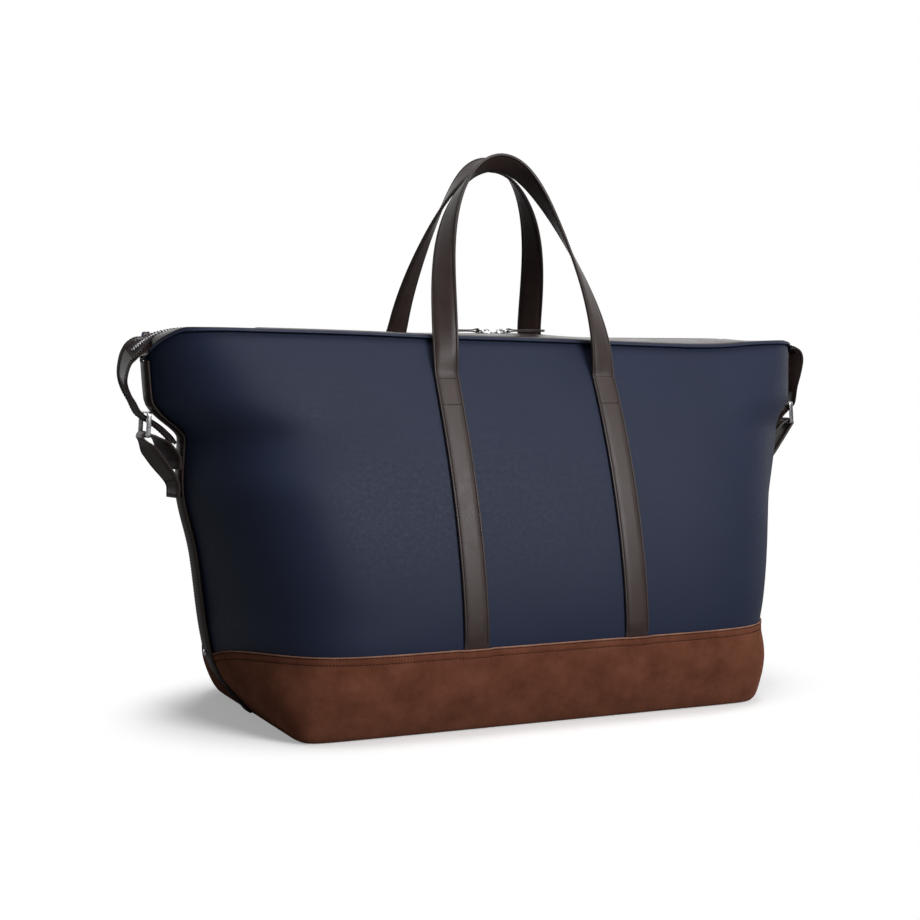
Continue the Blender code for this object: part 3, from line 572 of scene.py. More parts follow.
def edge_runs(rings, rows):
    """Stitches along both grooves of a strap, over these rows of its rings."""
    runs = []
    for groove in GROOVES:
        line = rings[rows, groove]
        runs.append(stitch_places(line, line - rings[rows, UNDER - groove]))
    return runs


def cross_run(rings, row, out, stand=THREAD_STAND):
    """Stitches across a strap between its grooves."""
    line = np.linspace(rings[row, 5], rings[row, 8], 12)
    return stitch_places(line, np.tile(out, (12, 1)), stand=stand)


def soften(piece, width, angle=40):
    """Rounds the piece's sharp edges."""
    bevel = piece.modifiers.new("edges", "BEVEL")
    bevel.width = width
    bevel.segments = 2
    bevel.limit_method = "ANGLE"
    bevel.angle_limit = math.radians(angle)


def spline(knots, count):
    """Evenly spread points on a Catmull-Rom curve through the knots."""
    k = [np.array(p, float) for p in knots]
    k = [2 * k[0] - k[1], *k, 2 * k[-1] - k[-2]]
    dense = []
    for a, b, c, d in zip(k, k[1:], k[2:], k[3:]):
        for t in np.linspace(0, 1, 24, endpoint=False):
            curve = 2 * b + (c - a) * t + (2 * a - 5 * b + 4 * c - d) * t**2
            dense.append((curve + (3 * b - a - 3 * c + d) * t**3) / 2)
    return spread(np.array([*dense, k[-2]]), count)


def spread(points, count):
    """The same line with its points evenly apart."""
    length = run_along(points)
    at = np.linspace(0, length[-1], count)
    return points_at(at, length, points)


# The body's skin


def smooth(knots, at):
    """A monotone cubic through (place, value) knots."""
    x, y = np.array(knots, float).T
    step = np.diff(x)
    rise = np.diff(y) / step
    slope = np.concatenate([rise[:1], np.zeros(len(x) - 2), rise[-1:]])
    for i in range(1, len(x) - 1):
        if rise[i - 1] * rise[i] > 0:
            slope[i] = 2 * rise[i - 1] * rise[i] / (rise[i - 1] + rise[i])
    i = int(np.clip(np.searchsorted(x, at) - 1, 0, len(step) - 1))
    t = (min(max(at, x[0]), x[-1]) - x[i]) / step[i]
    keep = (1 + 2 * t) * (1 - t) ** 2 * y[i] + t * t * (3 - 2 * t) * y[i + 1]
    return keep + step[i] * (t * (1 - t) ** 2 * slope[i] - t * t * (1 - t) * slope[i + 1])


@lru_cache(maxsize=None)
def half_length(z, side):
    waist, wing = WAIST_REACH[side], WING_REACH[side]
    profile = (
        (0, BASE_LENGTH / 2),
        (KNEE_HEIGHT, KNEE_REACH),
        (BOOT_HEIGHT, BOOT_REACH),
        *SEAM_DRAWN[side],
        (WAIST_HEIGHT, waist),
        (FLARE_HEIGHT, waist + FLARE * (wing - waist)),
        (BODY_HEIGHT, wing),
    )
    return smooth(profile, z)


def half_depth(z):
    if z < BOOT_HEIGHT:
        swell = math.sin(math.pi / 2 * z / BOOT_HEIGHT)
        return (BASE_DEPTH + (BOOT_DEPTH - BASE_DEPTH) * swell) / 2
    rise = min((z - BOOT_HEIGHT) / (BODY_HEIGHT - BOOT_HEIGHT), 1)
    return (BOOT_DEPTH + (MOUTH_DEPTH - BOOT_DEPTH) * rise**SHOULDER_CURVE) / 2


@lru_cache(maxsize=None)
def squareness(z):
    return smooth(SQUARENESS, z)


def ridge(z):
    return BASE_RIDGE + (1 - BASE_RIDGE) * float(ease(z / BOOT_HEIGHT))


def lean(z):
    return -TOP_LEAN * ease(np.asarray(z, float) / BODY_HEIGHT)


@lru_cache(maxsize=None)
def section(z, side):
    """The plan at this height: shares of its length, its points and its length."""
    length, depth, square, seam = half_length(z, side), half_depth(z), squareness(z), ridge(z)
    t = np.linspace(0, 0.5 ** (1 / square), 70)
    first = np.stack([t * length, depth * (1 - t**square) ** seam], axis=1)
    y = np.linspace(0.5**seam, 0, 70)[1:]
    second = np.stack([length * (1 - y ** (1 / seam)) ** (1 / square), y * depth], axis=1)
    points = np.concatenate([first, second])
    along = run_along(points)
    return along / along[-1], points, along[-1]


def rounded(knots):
    """The line through these knots with its corners rounded."""
    x, y = np.array(knots).T
    line = np.interp(SETTLE_STEPS, x, y)
    return np.convolve(np.pad(line, 8, "edge"), np.ones(17) / 17, "valid")


FRONT_LINE, ZIP_LINE = rounded(FRONT_SETTLE), rounded(ZIP_SETTLE)


def settle(points, share=0.0):
    """Moves the soft upper to where it has sunk: with the front panel, or as share 1 with the zip."""
    points = np.array(points, float)
    x, z = points[..., 0], points[..., 2]
    front, middle = np.interp(x, SETTLE_STEPS, FRONT_LINE), np.interp(x, SETTLE_STEPS, ZIP_LINE)
    rise = front * (1 - share) + middle * share
    points[..., 2] += rise * ease((z - SETTLE_FROM) / SETTLE_RISE)
    return points


def panel_share(places, face):
    """How far each column of a panel settles with the zip."""
    if face == FRONT:
        return np.zeros(len(places))
    return ease((1 - np.abs(places)) / 0.12)


def skin(f, z, face):
    """A point of a panel: f runs from -1 at the left seam to 1 at the right seam."""
    side = LEFT if f < 0 else RIGHT
    along, points, _ = section(round(float(z), 5), side)
    x = np.interp(abs(f), along, points[:, 0])
    y = np.interp(abs(f), along, points[:, 1])
    if face == FRONT and side == RIGHT:
        full = CORNER_FULLNESS * math.exp(-(((f - 0.90) / 0.09) ** 2 + ((z - 0.235) / 0.07) ** 2))
        x += 0.85 * full
        y += 0.6 * full
    return np.array([math.copysign(x, f), float(lean(z)) + face * y, z])


def skin_grid(places, heights, face):
    """Points of a panel: one row for each list of heights, one column for each place."""
    return np.array([[skin(f, z, face) for f, z in zip(places, row)] for row in heights])


def away_from_middle(points):
    """Roughly outward directions for a grid of the body's points."""
    away = points.copy()
    away[..., 1] -= lean(points[..., 2])
    away[..., 2] = 0
    return away


def boot_top(f):
    return BOOT_HEIGHT - (BOOT_HEIGHT - BOOT_END_HEIGHT) * abs(f) ** BOOT_SWEEP


def rim(f, face=FRONT):
    """The top of the nylon, which drops towards the end seams."""
    start = DROOP_START[face]
    past = max((abs(f) - start) / (1 - start), 0)
    return BODY_HEIGHT - WING_DROOP[LEFT if f < 0 else RIGHT] * past**1.3


def depth_at(x, z):
    """Half the body's depth at this distance from its middle."""
    share = min(abs(x) / half_length(round(float(z), 5), LEFT if x < 0 else RIGHT), 1)
    return half_depth(z) * (1 - share ** squareness(round(float(z), 5))) ** ridge(z)


def from_seam(distance):
    return 1 - distance / section(BOOT_HEIGHT, RIGHT)[2]


def strap_bump(x, soft=0.005):
    """One over a sewn strap, easing to nothing beside it."""
    gap = np.abs(np.abs(x) - STRAP_SPREAD) - STRAP_WIDTH / 2
    return 1 - ease(gap / soft)


# Panels, boot, base and lining

PANEL_PLACES = np.concatenate(
    [np.linspace(-0.9982, -0.90, 14), np.linspace(-0.89, 0.89, 132), np.linspace(0.90, 0.9982, 14)]
)


# Soft hollows and fills of the front panel: place, half width, half height and depth
HOLLOWS = (
    (-0.245, 0.272, 0.050, 0.028, -0.0022),
    (-0.240, 0.235, 0.060, 0.018, 0.0012),
    (-0.275, 0.198, 0.040, 0.024, -0.0016),
    (-0.250, 0.115, 0.060, 0.030, -0.0012),
    (-0.110, 0.340, 0.018, 0.020, -0.0014),
    (0.058, 0.338, 0.018, 0.022, -0.0014),
)


def slack(points, face):
    """How far the nylon hollows or fills between its seams, in metres along its normal."""
    out = np.zeros(points.shape[:2])
    for r in range(points.shape[0]):
        for c in range(points.shape[1]):
            x, _, z = points[r, c]
            wave = noise.noise(Vector((x / 0.12, face * 3.1, z / 0.075)))
            small = noise.noise(Vector((x / 0.045 + 7, face * 1.7, z / 0.05 + 3)))
            loose = 0.35 + 0.65 * float(ease((abs(x) - 0.10) / 0.12))
            out[r, c] = (0.0013 * wave + 0.0005 * small) * loose
            if face == FRONT:
                for dx, dz, wide, high, deep in HOLLOWS:
                    out[r, c] += deep * math.exp(-(((x - dx) / wide) ** 2 + ((z - dz) / high) ** 2))
    edge = 1 - strap_bump(points[..., 0], 0.03)
    low = ease((points[..., 2] - 0.085) / 0.03) * ease((0.355 - points[..., 2]) / 0.03)
    return out * edge * low


def make_panels():
    """The nylon upper, tucked behind the boot below and into the facings' seam above."""
    below = np.array([0.012, 0.006, 0.0025, 0.0010, 0.0004, 0.0001, 0.0004, 0.0028])
    tuck = np.array([0, 0, 0, -0.0001, -0.0005, -0.0013, -0.0024, -0.0028])
    rows = 58
    out = np.concatenate([np.zeros(rows), tuck])
    for name, face in FACES:
        heights = []
        for t in np.linspace(0, 1, rows, endpoint=False):
            low = [boot_top(f) - 0.006 for f in PANEL_PLACES]
            top = [rim(f, face) - below[0] for f in PANEL_PLACES]
            heights.append([a + (b - a) * t for a, b in zip(low, top)])
        heights += [[rim(f, face) - b for f in PANEL_PLACES] for b in below]
        points = skin_grid(PANEL_PLACES, heights, face)
        normals = grid_normals(points, away_from_middle(points))
        ends = ease((1 - np.abs(PANEL_PLACES)) / 0.06)[None, :]
        points = points + normals * (out[:, None] + slack(points, face) * ends)[..., None]
        points = settle(points, panel_share(PANEL_PLACES, face)[None, :])
        normals = grid_normals(points, away_from_middle(points))
        panel = shell(f"{name}_panel_nylon", points, normals, NYLON, NAVY_NYLON)
        place(panel, "bag", "navy_nylon", f"{name}_panel")


# Heights and outward offsets of the boot: rolled under the base, and stitched below its top
BOOT_HEM = ((0.0006, -0.0060), (0.0004, -0.0036), (0.0007, -0.0018), (0.0017, -0.0004), (0.0036, 0.0006))
BOOT_EDGE = (
    (0.0100, 0.0018), (0.0088, 0.00175), (0.0080, 0.00135), (0.0072, 0.00175),
    (0.0055, 0.0020), (0.0036, 0.0019), (0.0028, 0.0018), (0.0020, 0.00140),
    (0.0012, 0.0018), (0.0005, 0.0019), (0.0000, 0.0016),
)
BOOT_STITCHES = (7, 2)  # rows of BOOT_EDGE that are stitched


def make_boot():
    """Suede round the foot of the bag, laid over the nylon and the ends of the straps."""
    for name, face in FACES:
        heights, out = [], []
        for z, o in BOOT_HEM:
            heights.append([z] * len(PANEL_PLACES))
            out.append(o)
        for t in np.linspace(0.04, 0.96, 20):
            low = BOOT_HEM[-1][0]
            heights.append([low + (boot_top(f) - BOOT_EDGE[0][0] - low) * t for f in PANEL_PLACES])
            out.append(0.0008 + 0.0010 * t + 0.0012 * math.sin(math.pi * t))
        for below, o in BOOT_EDGE:
            heights.append([boot_top(f) - below for f in PANEL_PLACES])
            out.append(o)
        points = skin_grid(PANEL_PLACES, heights, face)
        normals = grid_normals(points, away_from_middle(points))
        level = normals[len(BOOT_HEM) + 1] * np.array([1, 1, 0])
        normals[: len(BOOT_HEM)] = unit(level)
        out = np.array(out)[:, None] * np.ones(len(PANEL_PLACES))
        top = np.array([boot_top(f) for f in PANEL_PLACES])[None, :] - points[..., 2]
        out += 0.0021 * strap_bump(points[..., 0]) * (1 - ease((top - TUCK) / 0.014))
        body = ease((points[..., 2] - 0.004) / 0.02) * ease((top - 0.008) / 0.02)
        dents = []
        for row in points:
            dents.append([noise.noise(Vector((x / 0.07, face * 2.3, z / 0.04))) for x, _, z in row])
        points = points + normals * (out + 0.0012 * np.array(dents) * body)[..., None]
        normals = grid_normals(points, away_from_middle(points))
        # Its sides and its last two rows take the lighter suede, a painted highlight along the top edge
        boot = shell(f"{name}_boot_suede", points, normals, SUEDE, BROWN_SUEDE, SUEDE_EDGE_HIGHLIGHT, edge_rows=2)
        soften(boot, 0.0004)
        place(boot, "bag", "brown_suede", f"{name}_boot")
        runs = []
        for row in BOOT_STITCHES:
            r = len(points) - len(BOOT_EDGE) + row
            inside = slice(3, len(PANEL_PLACES) - 3)
            runs.append(stitch_places(points[r, inside], normals[r, inside]))
        thread = stitch_run(f"{name}_boot_thread", runs, SUEDE_THREAD)
        place(thread, "bag", "brown_suede")


def round_plan(z, inset):
    """The whole plan at this height, once round, this far in."""
    places = np.linspace(-0.9982, 0.9982, 120)
    rows = []
    for face, order in ((FRONT, places), (REAR, places[::-1])):
        rows.append(np.array([skin(f, z, face) for f in order]))
    loop = np.concatenate(rows)
    ahead = np.roll(loop, -1, axis=0) - np.roll(loop, 1, axis=0)
    out = unit(np.stack([ahead[:, 1], -ahead[:, 0], 0 * ahead[:, 0]], axis=1))
    if np.sum(out * away_from_middle(loop)) < 0:
        out = -out
    return loop - out * inset, out


# Heights of the base's edge, and how far inside the plan it stands
BASE_EDGE = (
    (0.0022, 0.0068), (0.0016, 0.0066), (0.0006, 0.0066), (0.0001, 0.0071),
    (0.0001, 0.0100),
)


def make_base():
    """The leather under the bag, with a stitched edge inside the boot's hem."""
    rings = []
    for z, inset in BASE_EDGE:
        loop, _ = round_plan(0.0, inset)
        loop[:, 2] = z
        rings.append(loop)
    panel = sweep("base_leather", rings, BROWN_LEATHER)
    place(panel, "bag", "brown_leather", "base_panel")
    line, _ = round_plan(0.0, 0.0110)
    line[:, 2] = 0.0002
    down = np.tile([0.0, 0.0, -1.0], (len(line), 1))
    thread = stitch_run("base_thread", [stitch_places(line, down, stand=-0.0003)], BROWN_THREAD)
    place(thread, "bag", "brown_leather")
    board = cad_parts["base_board"]
    board.data.materials.clear()
    board.data.materials.append(FIBREBOARD)


def make_lining():
    """A sack of cloth inside, slack enough to hollow a little between its seams."""
    inset, floor, top = 0.0042, 0.0064, BODY_HEIGHT - 0.0105
    rings = []
    for z in np.concatenate([[floor, floor + 0.0006], np.linspace(floor + 0.006, top, 46)]):
        loop, out = round_plan(z, inset + (0.0030 if z < floor + 0.0005 else 0.0))
        fold = [noise.noise(Vector((p[0] / 0.09, p[1] / 0.09, z / 0.11))) for p in loop]
        taper = float(ease((z - 0.01) / 0.03) * ease((top - z) / 0.03))
        loop = loop - out * (0.0016 * taper * (1 + np.array(fold)))[:, None]
        rings.append(settle(loop, np.where(loop[:, 1] < ZIP_Y, 0.0, 1.0)))
    rings = np.array(rings)
    inner = rings.mean(1, keepdims=True) + (rings - rings.mean(1, keepdims=True)) * (1 - LINING / 0.15)
    inner[..., 2] = rings[..., 2]
    inner[:2, :, 2] += LINING
    sack = np.concatenate([rings, inner[::-1]])
    lining = sweep("lining_sack", sack, LINING_CLOTH)
    place(lining, "bag", "lining_cloth", "lining")


# Seam strips, rivets, chapes and rings


def seam_point(side, z, across, out):
    """A point over an end seam, this far across it and out from the panels."""
    z = float(z)
    if abs(across) < 1e-6:
        return np.array([side * (half_length(round(z, 5), side) + out), float(lean(z)), z])
    face = FRONT if across < 0 else REAR
    f = side * from_seam(abs(across))
    along = skin(f + 0.003, z, face) - skin(f - 0.003, z, face)
    up = skin(f, z + 0.0012, face) - skin(f, max(z - 0.0012, 0), face)
    normal = unit(np.cross(along, up)) * -face
    return skin(f, z, face) + normal * out


def make_strips():
    """Leather over each end seam, stitched down along both edges."""
    outline = strap_section(STRIP_WIDTH, STRIP, inset=0.0020)
    for name, side in SIDES:
        high = rim(side) - 0.0012
        rings = []
        for z in np.linspace(STRIP_FOOT, high, 96):
            middle = STRIP_GAP + STRIP_LIFT + STRIP / 2
            rings.append([seam_point(side, z, a * side, middle + n) for a, n in outline])
        rings = settle(rings)
        strip = sweep(f"{name}_strip_leather", rings, BROWN_LEATHER, STRAP_BANDS)
        place(strip, "bag", "brown_leather", f"{name}_seam_strip")
        runs = edge_runs(rings, slice(2, -2))
        thread = stitch_run(f"{name}_strip_thread", runs, BROWN_THREAD)
        place(thread, "bag", "brown_leather")


def turned(profile, turns=36):
    """Rings of a turned shape about +Z, from (radius, height) pairs."""
    angles = np.arange(turns) * 2 * math.pi / turns
    return [[(r * math.cos(a), r * math.sin(a), h) for a in angles] for r, h in profile]


def make_rivets():
    """Low domes on the strips, with a fine rim."""
    for name, side in SIDES:
        above = half_length(RIVET_HEIGHT + 0.0015, side)
        below = half_length(RIVET_HEIGHT - 0.0015, side)
        slope = (above - below) / 0.003
        dome = [(RIVET_RADIUS, -0.0004), (RIVET_RADIUS + 0.0003, 0.0), (RIVET_RADIUS + 0.0002, 0.0003)]
        for t in np.linspace(0.1, 0.97, 9) * math.pi / 2:
            dome.append((RIVET_RADIUS * math.cos(t), 0.0003 + RIVET_RISE * math.sin(t)))
        rivet = sweep(f"{name}_rivet_cap", turned(dome), NICKEL)
        normal = Vector((side, 0, -slope)).normalized()
        seat = STRIP_GAP + STRIP_LIFT + STRIP * math.hypot(1, slope) + 0.0001
        rivet.location = Vector(seam_point(side, RIVET_HEIGHT, 0, 0)) + normal * seat
        rivet.rotation_euler = normal.to_track_quat("Z", "Y").to_euler()
        place(rivet, "bag", "nickel", f"{name}_rivet")


def ring_foot(side):
    return np.array([WAIST_REACH[side] + RING_STAND[side], WAIST_HEIGHT + RING_LIFT])


def chape_path(side):
    """Up from the seam, round the ring's lower bar and back down inside."""
    sewn = STRIP_GAP + STRIP + 0.0012 + CHAPE
    top = WAIST_HEIGHT - CHAPE_DROP[side]
    foot = [np.array([half_length(round(z, 5), side) + sewn, z]) for z in (top - CHAPE_SEWN, top)]
    centre = ring_foot(side)
    slant = unit(centre - foot[1])
    out = np.array([slant[1], -slant[0]])
    start = math.atan2(out[1], out[0])
    turn = np.linspace(start, start + math.pi, 9)
    loop = [centre + CHAPE_LOOP * np.array([math.cos(a), math.sin(a)]) for a in turn]
    inner = [centre + np.array(step) for step in CHAPE_BACK[side]]
    return spline([*foot, (foot[1] + loop[0]) / 2, *loop, *inner], 96)


def end_rings(path, side, outline, turns):
    """Rings of a strap over an end; turns are the slopes across it, out to its rear edge."""
    ahead = unit(np.gradient(path, axis=0))
    rings = []
    for (x, z), (dx, dz), turn in zip(path, ahead, turns):
        ring = []
        for a, n in outline:
            off = n + turn * a
            ring.append((side * (x + dz * off), float(lean(z)) + a, z - dx * off))
        rings.append(ring)
    return np.array(rings)


def make_chapes():
    """A folded strap that holds each ring to its seam."""
    outline = strap_section(TAIL_WIDTH, CHAPE)
    for name, side in SIDES:
        path = chape_path(side)
        far = np.arange(len(path)) - int(np.argmax(path[:, 1]))
        foot = 0.55 + 0.45 * ease(np.arange(len(path)) / 30)
        turns = -np.sign(far) * CHAPE_SLOPE[side] * ease((np.abs(far) - 7) / 12) * foot
        rings = end_rings(path, side, outline, turns)
        chape = sweep(f"{name}_chape_leather", rings, BROWN_LEATHER, STRAP_BANDS)
        place(chape, "bag", "brown_leather", f"{name}_chape")
        runs = edge_runs(rings, slice(2, 34))
        runs += [cross_run(rings, row, rings[row, 6] - rings[row, 21]) for row in (2, 13)]
        thread = stitch_run(f"{name}_chape_thread", runs, BROWN_THREAD)
        place(thread, "bag", "brown_leather")


def make_rings():
    """A flat band bent to a rectangle with eased corners and edges."""
    half, top, bend = RING_INNER + RING_WALL / 2, RING_HEIGHT, 0.0026
    corners = ((half, 0), (half, top), (-half, top), (-half, 0))
    line = []
    for i, (cy, cz) in enumerate(corners):
        middle = np.array([cy - math.copysign(bend, cy), cz + (bend if cz == 0 else -bend)])
        start = -math.pi / 2 + i * math.pi / 2
        for a in np.linspace(start, start + math.pi / 2, 7):
            line.append(middle + bend * np.array([math.cos(a), math.sin(a)]))
    line = np.array(line)
    ahead = unit(np.roll(line, -1, axis=0) - np.roll(line, 1, axis=0))
    wall, wide, ease_by = RING_WALL / 2, RING_BAND / 2, 0.0005
    outline = []
    for x, n in ((wide, wall), (-wide, wall), (-wide, -wall), (wide, -wall)):
        sx, sn = math.copysign(1, x), math.copysign(1, n)
        corner = (x - sx * 0.3 * ease_by, n - sn * 0.3 * ease_by)
        steps = [(x, n - sn * ease_by), corner, (x - sx * ease_by, n)]
        outline += steps if sx * sn > 0 else steps[::-1]
    for name, side in SIDES:
        cos, sin = math.cos(-side * RING_TILT), math.sin(-side * RING_TILT)
        x0, z0 = ring_foot(side)
        rings = []
        for (y, z), (dy, dz) in zip(line, ahead):
            ring = []
            for x, n in outline:
                py, pz = y + dz * n, z - dy * n
                ring.append((x * cos + pz * sin, py, -x * sin + pz * cos))
            rings.append(ring)
        rings = np.array(rings) + np.array([side * x0, float(lean(z0)), z0])
        ring = sweep(f"{name}_ring_nickel", rings, NICKEL, closed=True)
        place(ring, f"{name}_end_ring", "nickel", f"{name}_ring")


# Facings, tails and zip


def mouth_edge(x):
    return depth_at(x, BODY_HEIGHT)


# Distances from a facing's outer edge or its zip edge, with heights below its crown
FACING_OUTER = (
    (0.0036, -0.0034), (0.0018, -0.0033), (0.0009, -0.0026), (0.0007, -0.0014),
    (0.0012, -0.0005), (0.0024, 0.0),
)
FACING_INNER = (
    (0.0042, 0.0), (0.0034, 0.0), (0.0027, -0.0003), (0.0020, 0.0),
    (0.0009, 0.0), (0.0002, -0.0004), (0.0, -0.0010),
)


def facing_row(x, face):
    """Points across a facing, from under its seam with the nylon to the zip."""
    edge = mouth_edge(x)
    span = edge - ZIP_SLOT
    places = [(d, h) for d, h in FACING_OUTER]
    for t in np.linspace(0.12, 0.88, 9):
        places.append((span * t, 0.0006 * math.sin(math.pi * t)))
    places += [(span - d, h) for d, h in FACING_INNER]
    row = []
    for d, h in places:
        z = FACING_EDGE + FACING / 2 + ZIP_RISE * d / span + h
        row.append((x, ZIP_Y + face * (edge - d), z))
    return row


def teeth_parting(x):
    inner_end = SLIDER_REST - SLIDER_LENGTH / 2
    closing = float(ease((abs(x) - inner_end) / (SLIDER_LENGTH / 2)))
    return TEETH_PARTING * (1 - closing)


def tooth_run(name, teeth):
    """Die-cast teeth; each is a place and its directions along the zip, to its nose, and up."""
    shape = (
        (-0.0017, 0.00042, 0.0008),
        (-0.0014, 0.00056, 0.0011),
        (0.0006, 0.00056, 0.0012),
        (0.0012, 0.00050, 0.0010),
        (0.0016, 0.00030, 0.0006),
    )
    signs = ((-1, -1), (1, -1), (1, 1), (-1, 1))
    points, faces = [], []
    for p, along, nose, up in teeth:
        start = len(points)
        for reach, wide, high in shape:
            points += [p + nose * reach + along * (wide * a) + up * (high * u) for a, u in signs]
        faces += tube_faces(start, len(shape), len(signs))
    return new_piece(name, points, faces, [NICKEL])


def hang_lip(piece, face_name, side, slot, *nodes):
    """The piece keeps its place and the parts of these nodes are hidden; face_name, side and slot are not
    used.
    """
    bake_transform(piece)
    if nodes:
        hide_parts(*nodes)


def make_facings():
    """Leather on each side of the zip, in two halves that meet between the sliders."""
    for face_name, face in FACES:
        for side_name, side in SIDES:
            name = f"{face_name}_{side_name}"
            xs = np.linspace(0, LIP_END + 0.0004, 72) * side
            points = np.array([facing_row(x, face) for x in xs])
            share = np.abs(points[..., 1] - points[:, :1, 1]) / np.ptp(points[..., 1], axis=1)[:, None]
            points = settle(points, share if face == FRONT else 1.0)
            up = np.zeros_like(points)
            up[:, len(FACING_OUTER) :, 2] = 1
            normals = grid_normals(points, up)
            thick = np.full(points.shape[:2], FACING)
            thick[:, : len(FACING_OUTER) - 1] = 0.0005
            thick[:, -3:] = 0.0014
            facing = shell(f"{name}_facing_leather", points, normals, thick, FACING_LEATHER)
            hang_lip(facing, face_name, side, "brown_leather", f"{face_name}_facing")
            groove = points.shape[1] - 5
            runs = [stitch_places(points[1:-1, groove], normals[1:-1, groove])]
            thread = stitch_run(f"{name}_facing_thread", runs, BROWN_THREAD)
            hang_lip(thread, face_name, side, "brown_leather")
            make_zip_half(name, face_name, face, side)


def make_zip_half(name, face_name, face, side):
    """Half of one side of the zip: its tape and its row of teeth."""
    xs = np.linspace(0, LIP_END, 90) * side
    rows = []
    for x in xs:
        near = teeth_parting(x) + 0.0006
        row = []
        for t in np.linspace(0, 1, 6):
            y = near + (ZIP_SLOT + 0.0030 - near) * t
            row.append((x, ZIP_Y + face * y, ZIP_Z + TAPE / 2 - 0.0004 - 0.0010 * t))
        rows.append(row)
    points = settle(rows, 1.0)
    normals = grid_normals(points, np.tile([0.0, 0.0, 1.0], (*points.shape[:2], 1)))
    tape = shell(f"{name}_zip_tape", points, normals, TAPE, ZIP_CLOTH)
    hang_lip(tape, face_name, side, "zip_cloth", f"{face_name}_zip_tape")
    teeth = []
    shift = 0.25 if face == FRONT else 0.75
    for k in range(int(LIP_END / TEETH_PITCH)):
        x = side * (k + shift) * TEETH_PITCH
        y = ZIP_Y + face * (teeth_parting(x) + TEETH_WIDTH / 2 - INTERLOCK)
        middle = settle([[x, y, ZIP_Z]], 1.0)[0]
        teeth.append((middle, np.array([1.0, 0, 0]), np.array([0, -face, 0.0]), np.array([0, 0, 1.0])))
    row = tooth_run(f"{name}_zip_teeth", teeth)
    hang_lip(row, face_name, side, "nickel", f"{face_name}_zip_teeth")


# The middle line of each tail as it lies: distance from the middle of the bag and height, then how
# far out and up its rear edge stands from that line
TAIL_LINE = {
    LEFT: (
        (0.2850, 0.3723, 0, 0),
        (0.3000, 0.3734, 0, 0),
        (0.3216, 0.3766, 0, 0),
        (0.3406, 0.3734, 0, 0),
        (0.3520, 0.3682, 0, 0),
        (0.3600, 0.3633, 0.0016, 0.0048),
        (0.3667, 0.3574, 0.0023, 0.0071),
        (0.3720, 0.3509, 0.0019, 0.0061),
        (0.3747, 0.3442, 0.0017, 0.0048),
        (0.3763, 0.3358, 0.0014, 0.0037),
        (0.3763, 0.3298, 0.0010, 0.0032),
        (0.3751, 0.3243, 0.0009, 0.0030),
        (0.3722, 0.3171, 0.0008, 0.0028),
        (0.3675, 0.3090, 0.0006, 0.0020),
        (0.3648, 0.3034, 0.0001, 0.0005),
        (0.3614, 0.2983, 0, 0),
        (0.3562, 0.2944, 0, 0),
        (0.3500, 0.2905, 0, 0),
        (0.3420, 0.2848, 0, 0),
        (0.3330, 0.2762, 0, 0),
        (0.3290, 0.2705, 0, 0),
    ),
    RIGHT: (
        (0.3000, 0.3636, 0, 0),
        (0.3300, 0.3634, 0, 0),
        (0.3440, 0.3622, -0.0010, 0),
        (0.3536, 0.3590, -0.0030, 0),
        (0.3588, 0.3540, -0.0040, -0.0005),
        (0.3612, 0.3470, -0.0045, -0.0010),
        (0.3613, 0.3390, -0.0042, -0.0010),
        (0.3600, 0.3290, -0.0032, 0),
        (0.3584, 0.3160, -0.0012, 0),
        (0.3582, 0.3056, 0, 0),
        (0.3566, 0.2978, 0, 0),
        (0.3518, 0.2934, 0, 0),
        (0.3450, 0.2872, 0, 0),
        (0.3385, 0.2805, 0, 0),
        (0.3335, 0.2735, 0, 0),
    ),
}
ZIP_STOP = {LEFT: 0.3690, RIGHT: 0.3590}  # how far along each tail the zip reaches


def tail_path(side):
    """Along the top from the facing, over the wing and down through the ring."""
    start = settle([[side * LIP_END, ZIP_Y, ZIP_Z]], 1.0)[0, 2]
    return spline([(LIP_END + 0.0006, start, 0, 0), *TAIL_LINE[side]], 130)


def rows_before(path, reach):
    top = int(np.argmax(path[:, 0]))
    return int(np.searchsorted(path[:top, 0], reach))


def wing_edge(side, face):
    """Distance from the middle, half depth and height of the nylon's edge near a wing."""
    places = side * np.linspace(0.55, 0.999, 90)
    points = np.array([skin(f, rim(f, face), face) for f in places])
    points = settle(points, panel_share(places, face))
    return side * points[:, 0], np.abs(points[:, 1] - ZIP_Y), points[:, 2]


# Across a tail from its outer edge: distances, and heights below its crown
TAIL_EDGE = (
    (0.0, -0.0013), (0.0002, -0.0005), (0.0008, 0.0), (0.0016, 0.0),
    (0.0022, -0.0003), (0.0028, 0.0),
)


def tail_half(wide):
    """Distances from the zip's middle, from a tail's edge in to the zip's slot, with heights."""
    span = wide - ZIP_SLOT
    half = [(wide - min(d, span * 0.55), h) for d, h in TAIL_EDGE]
    half.append((ZIP_SLOT + span * 0.42, 0.0002))
    return half + [(ZIP_SLOT + min(d, span * 0.4), h) for d, h in FACING_INNER[1:]]


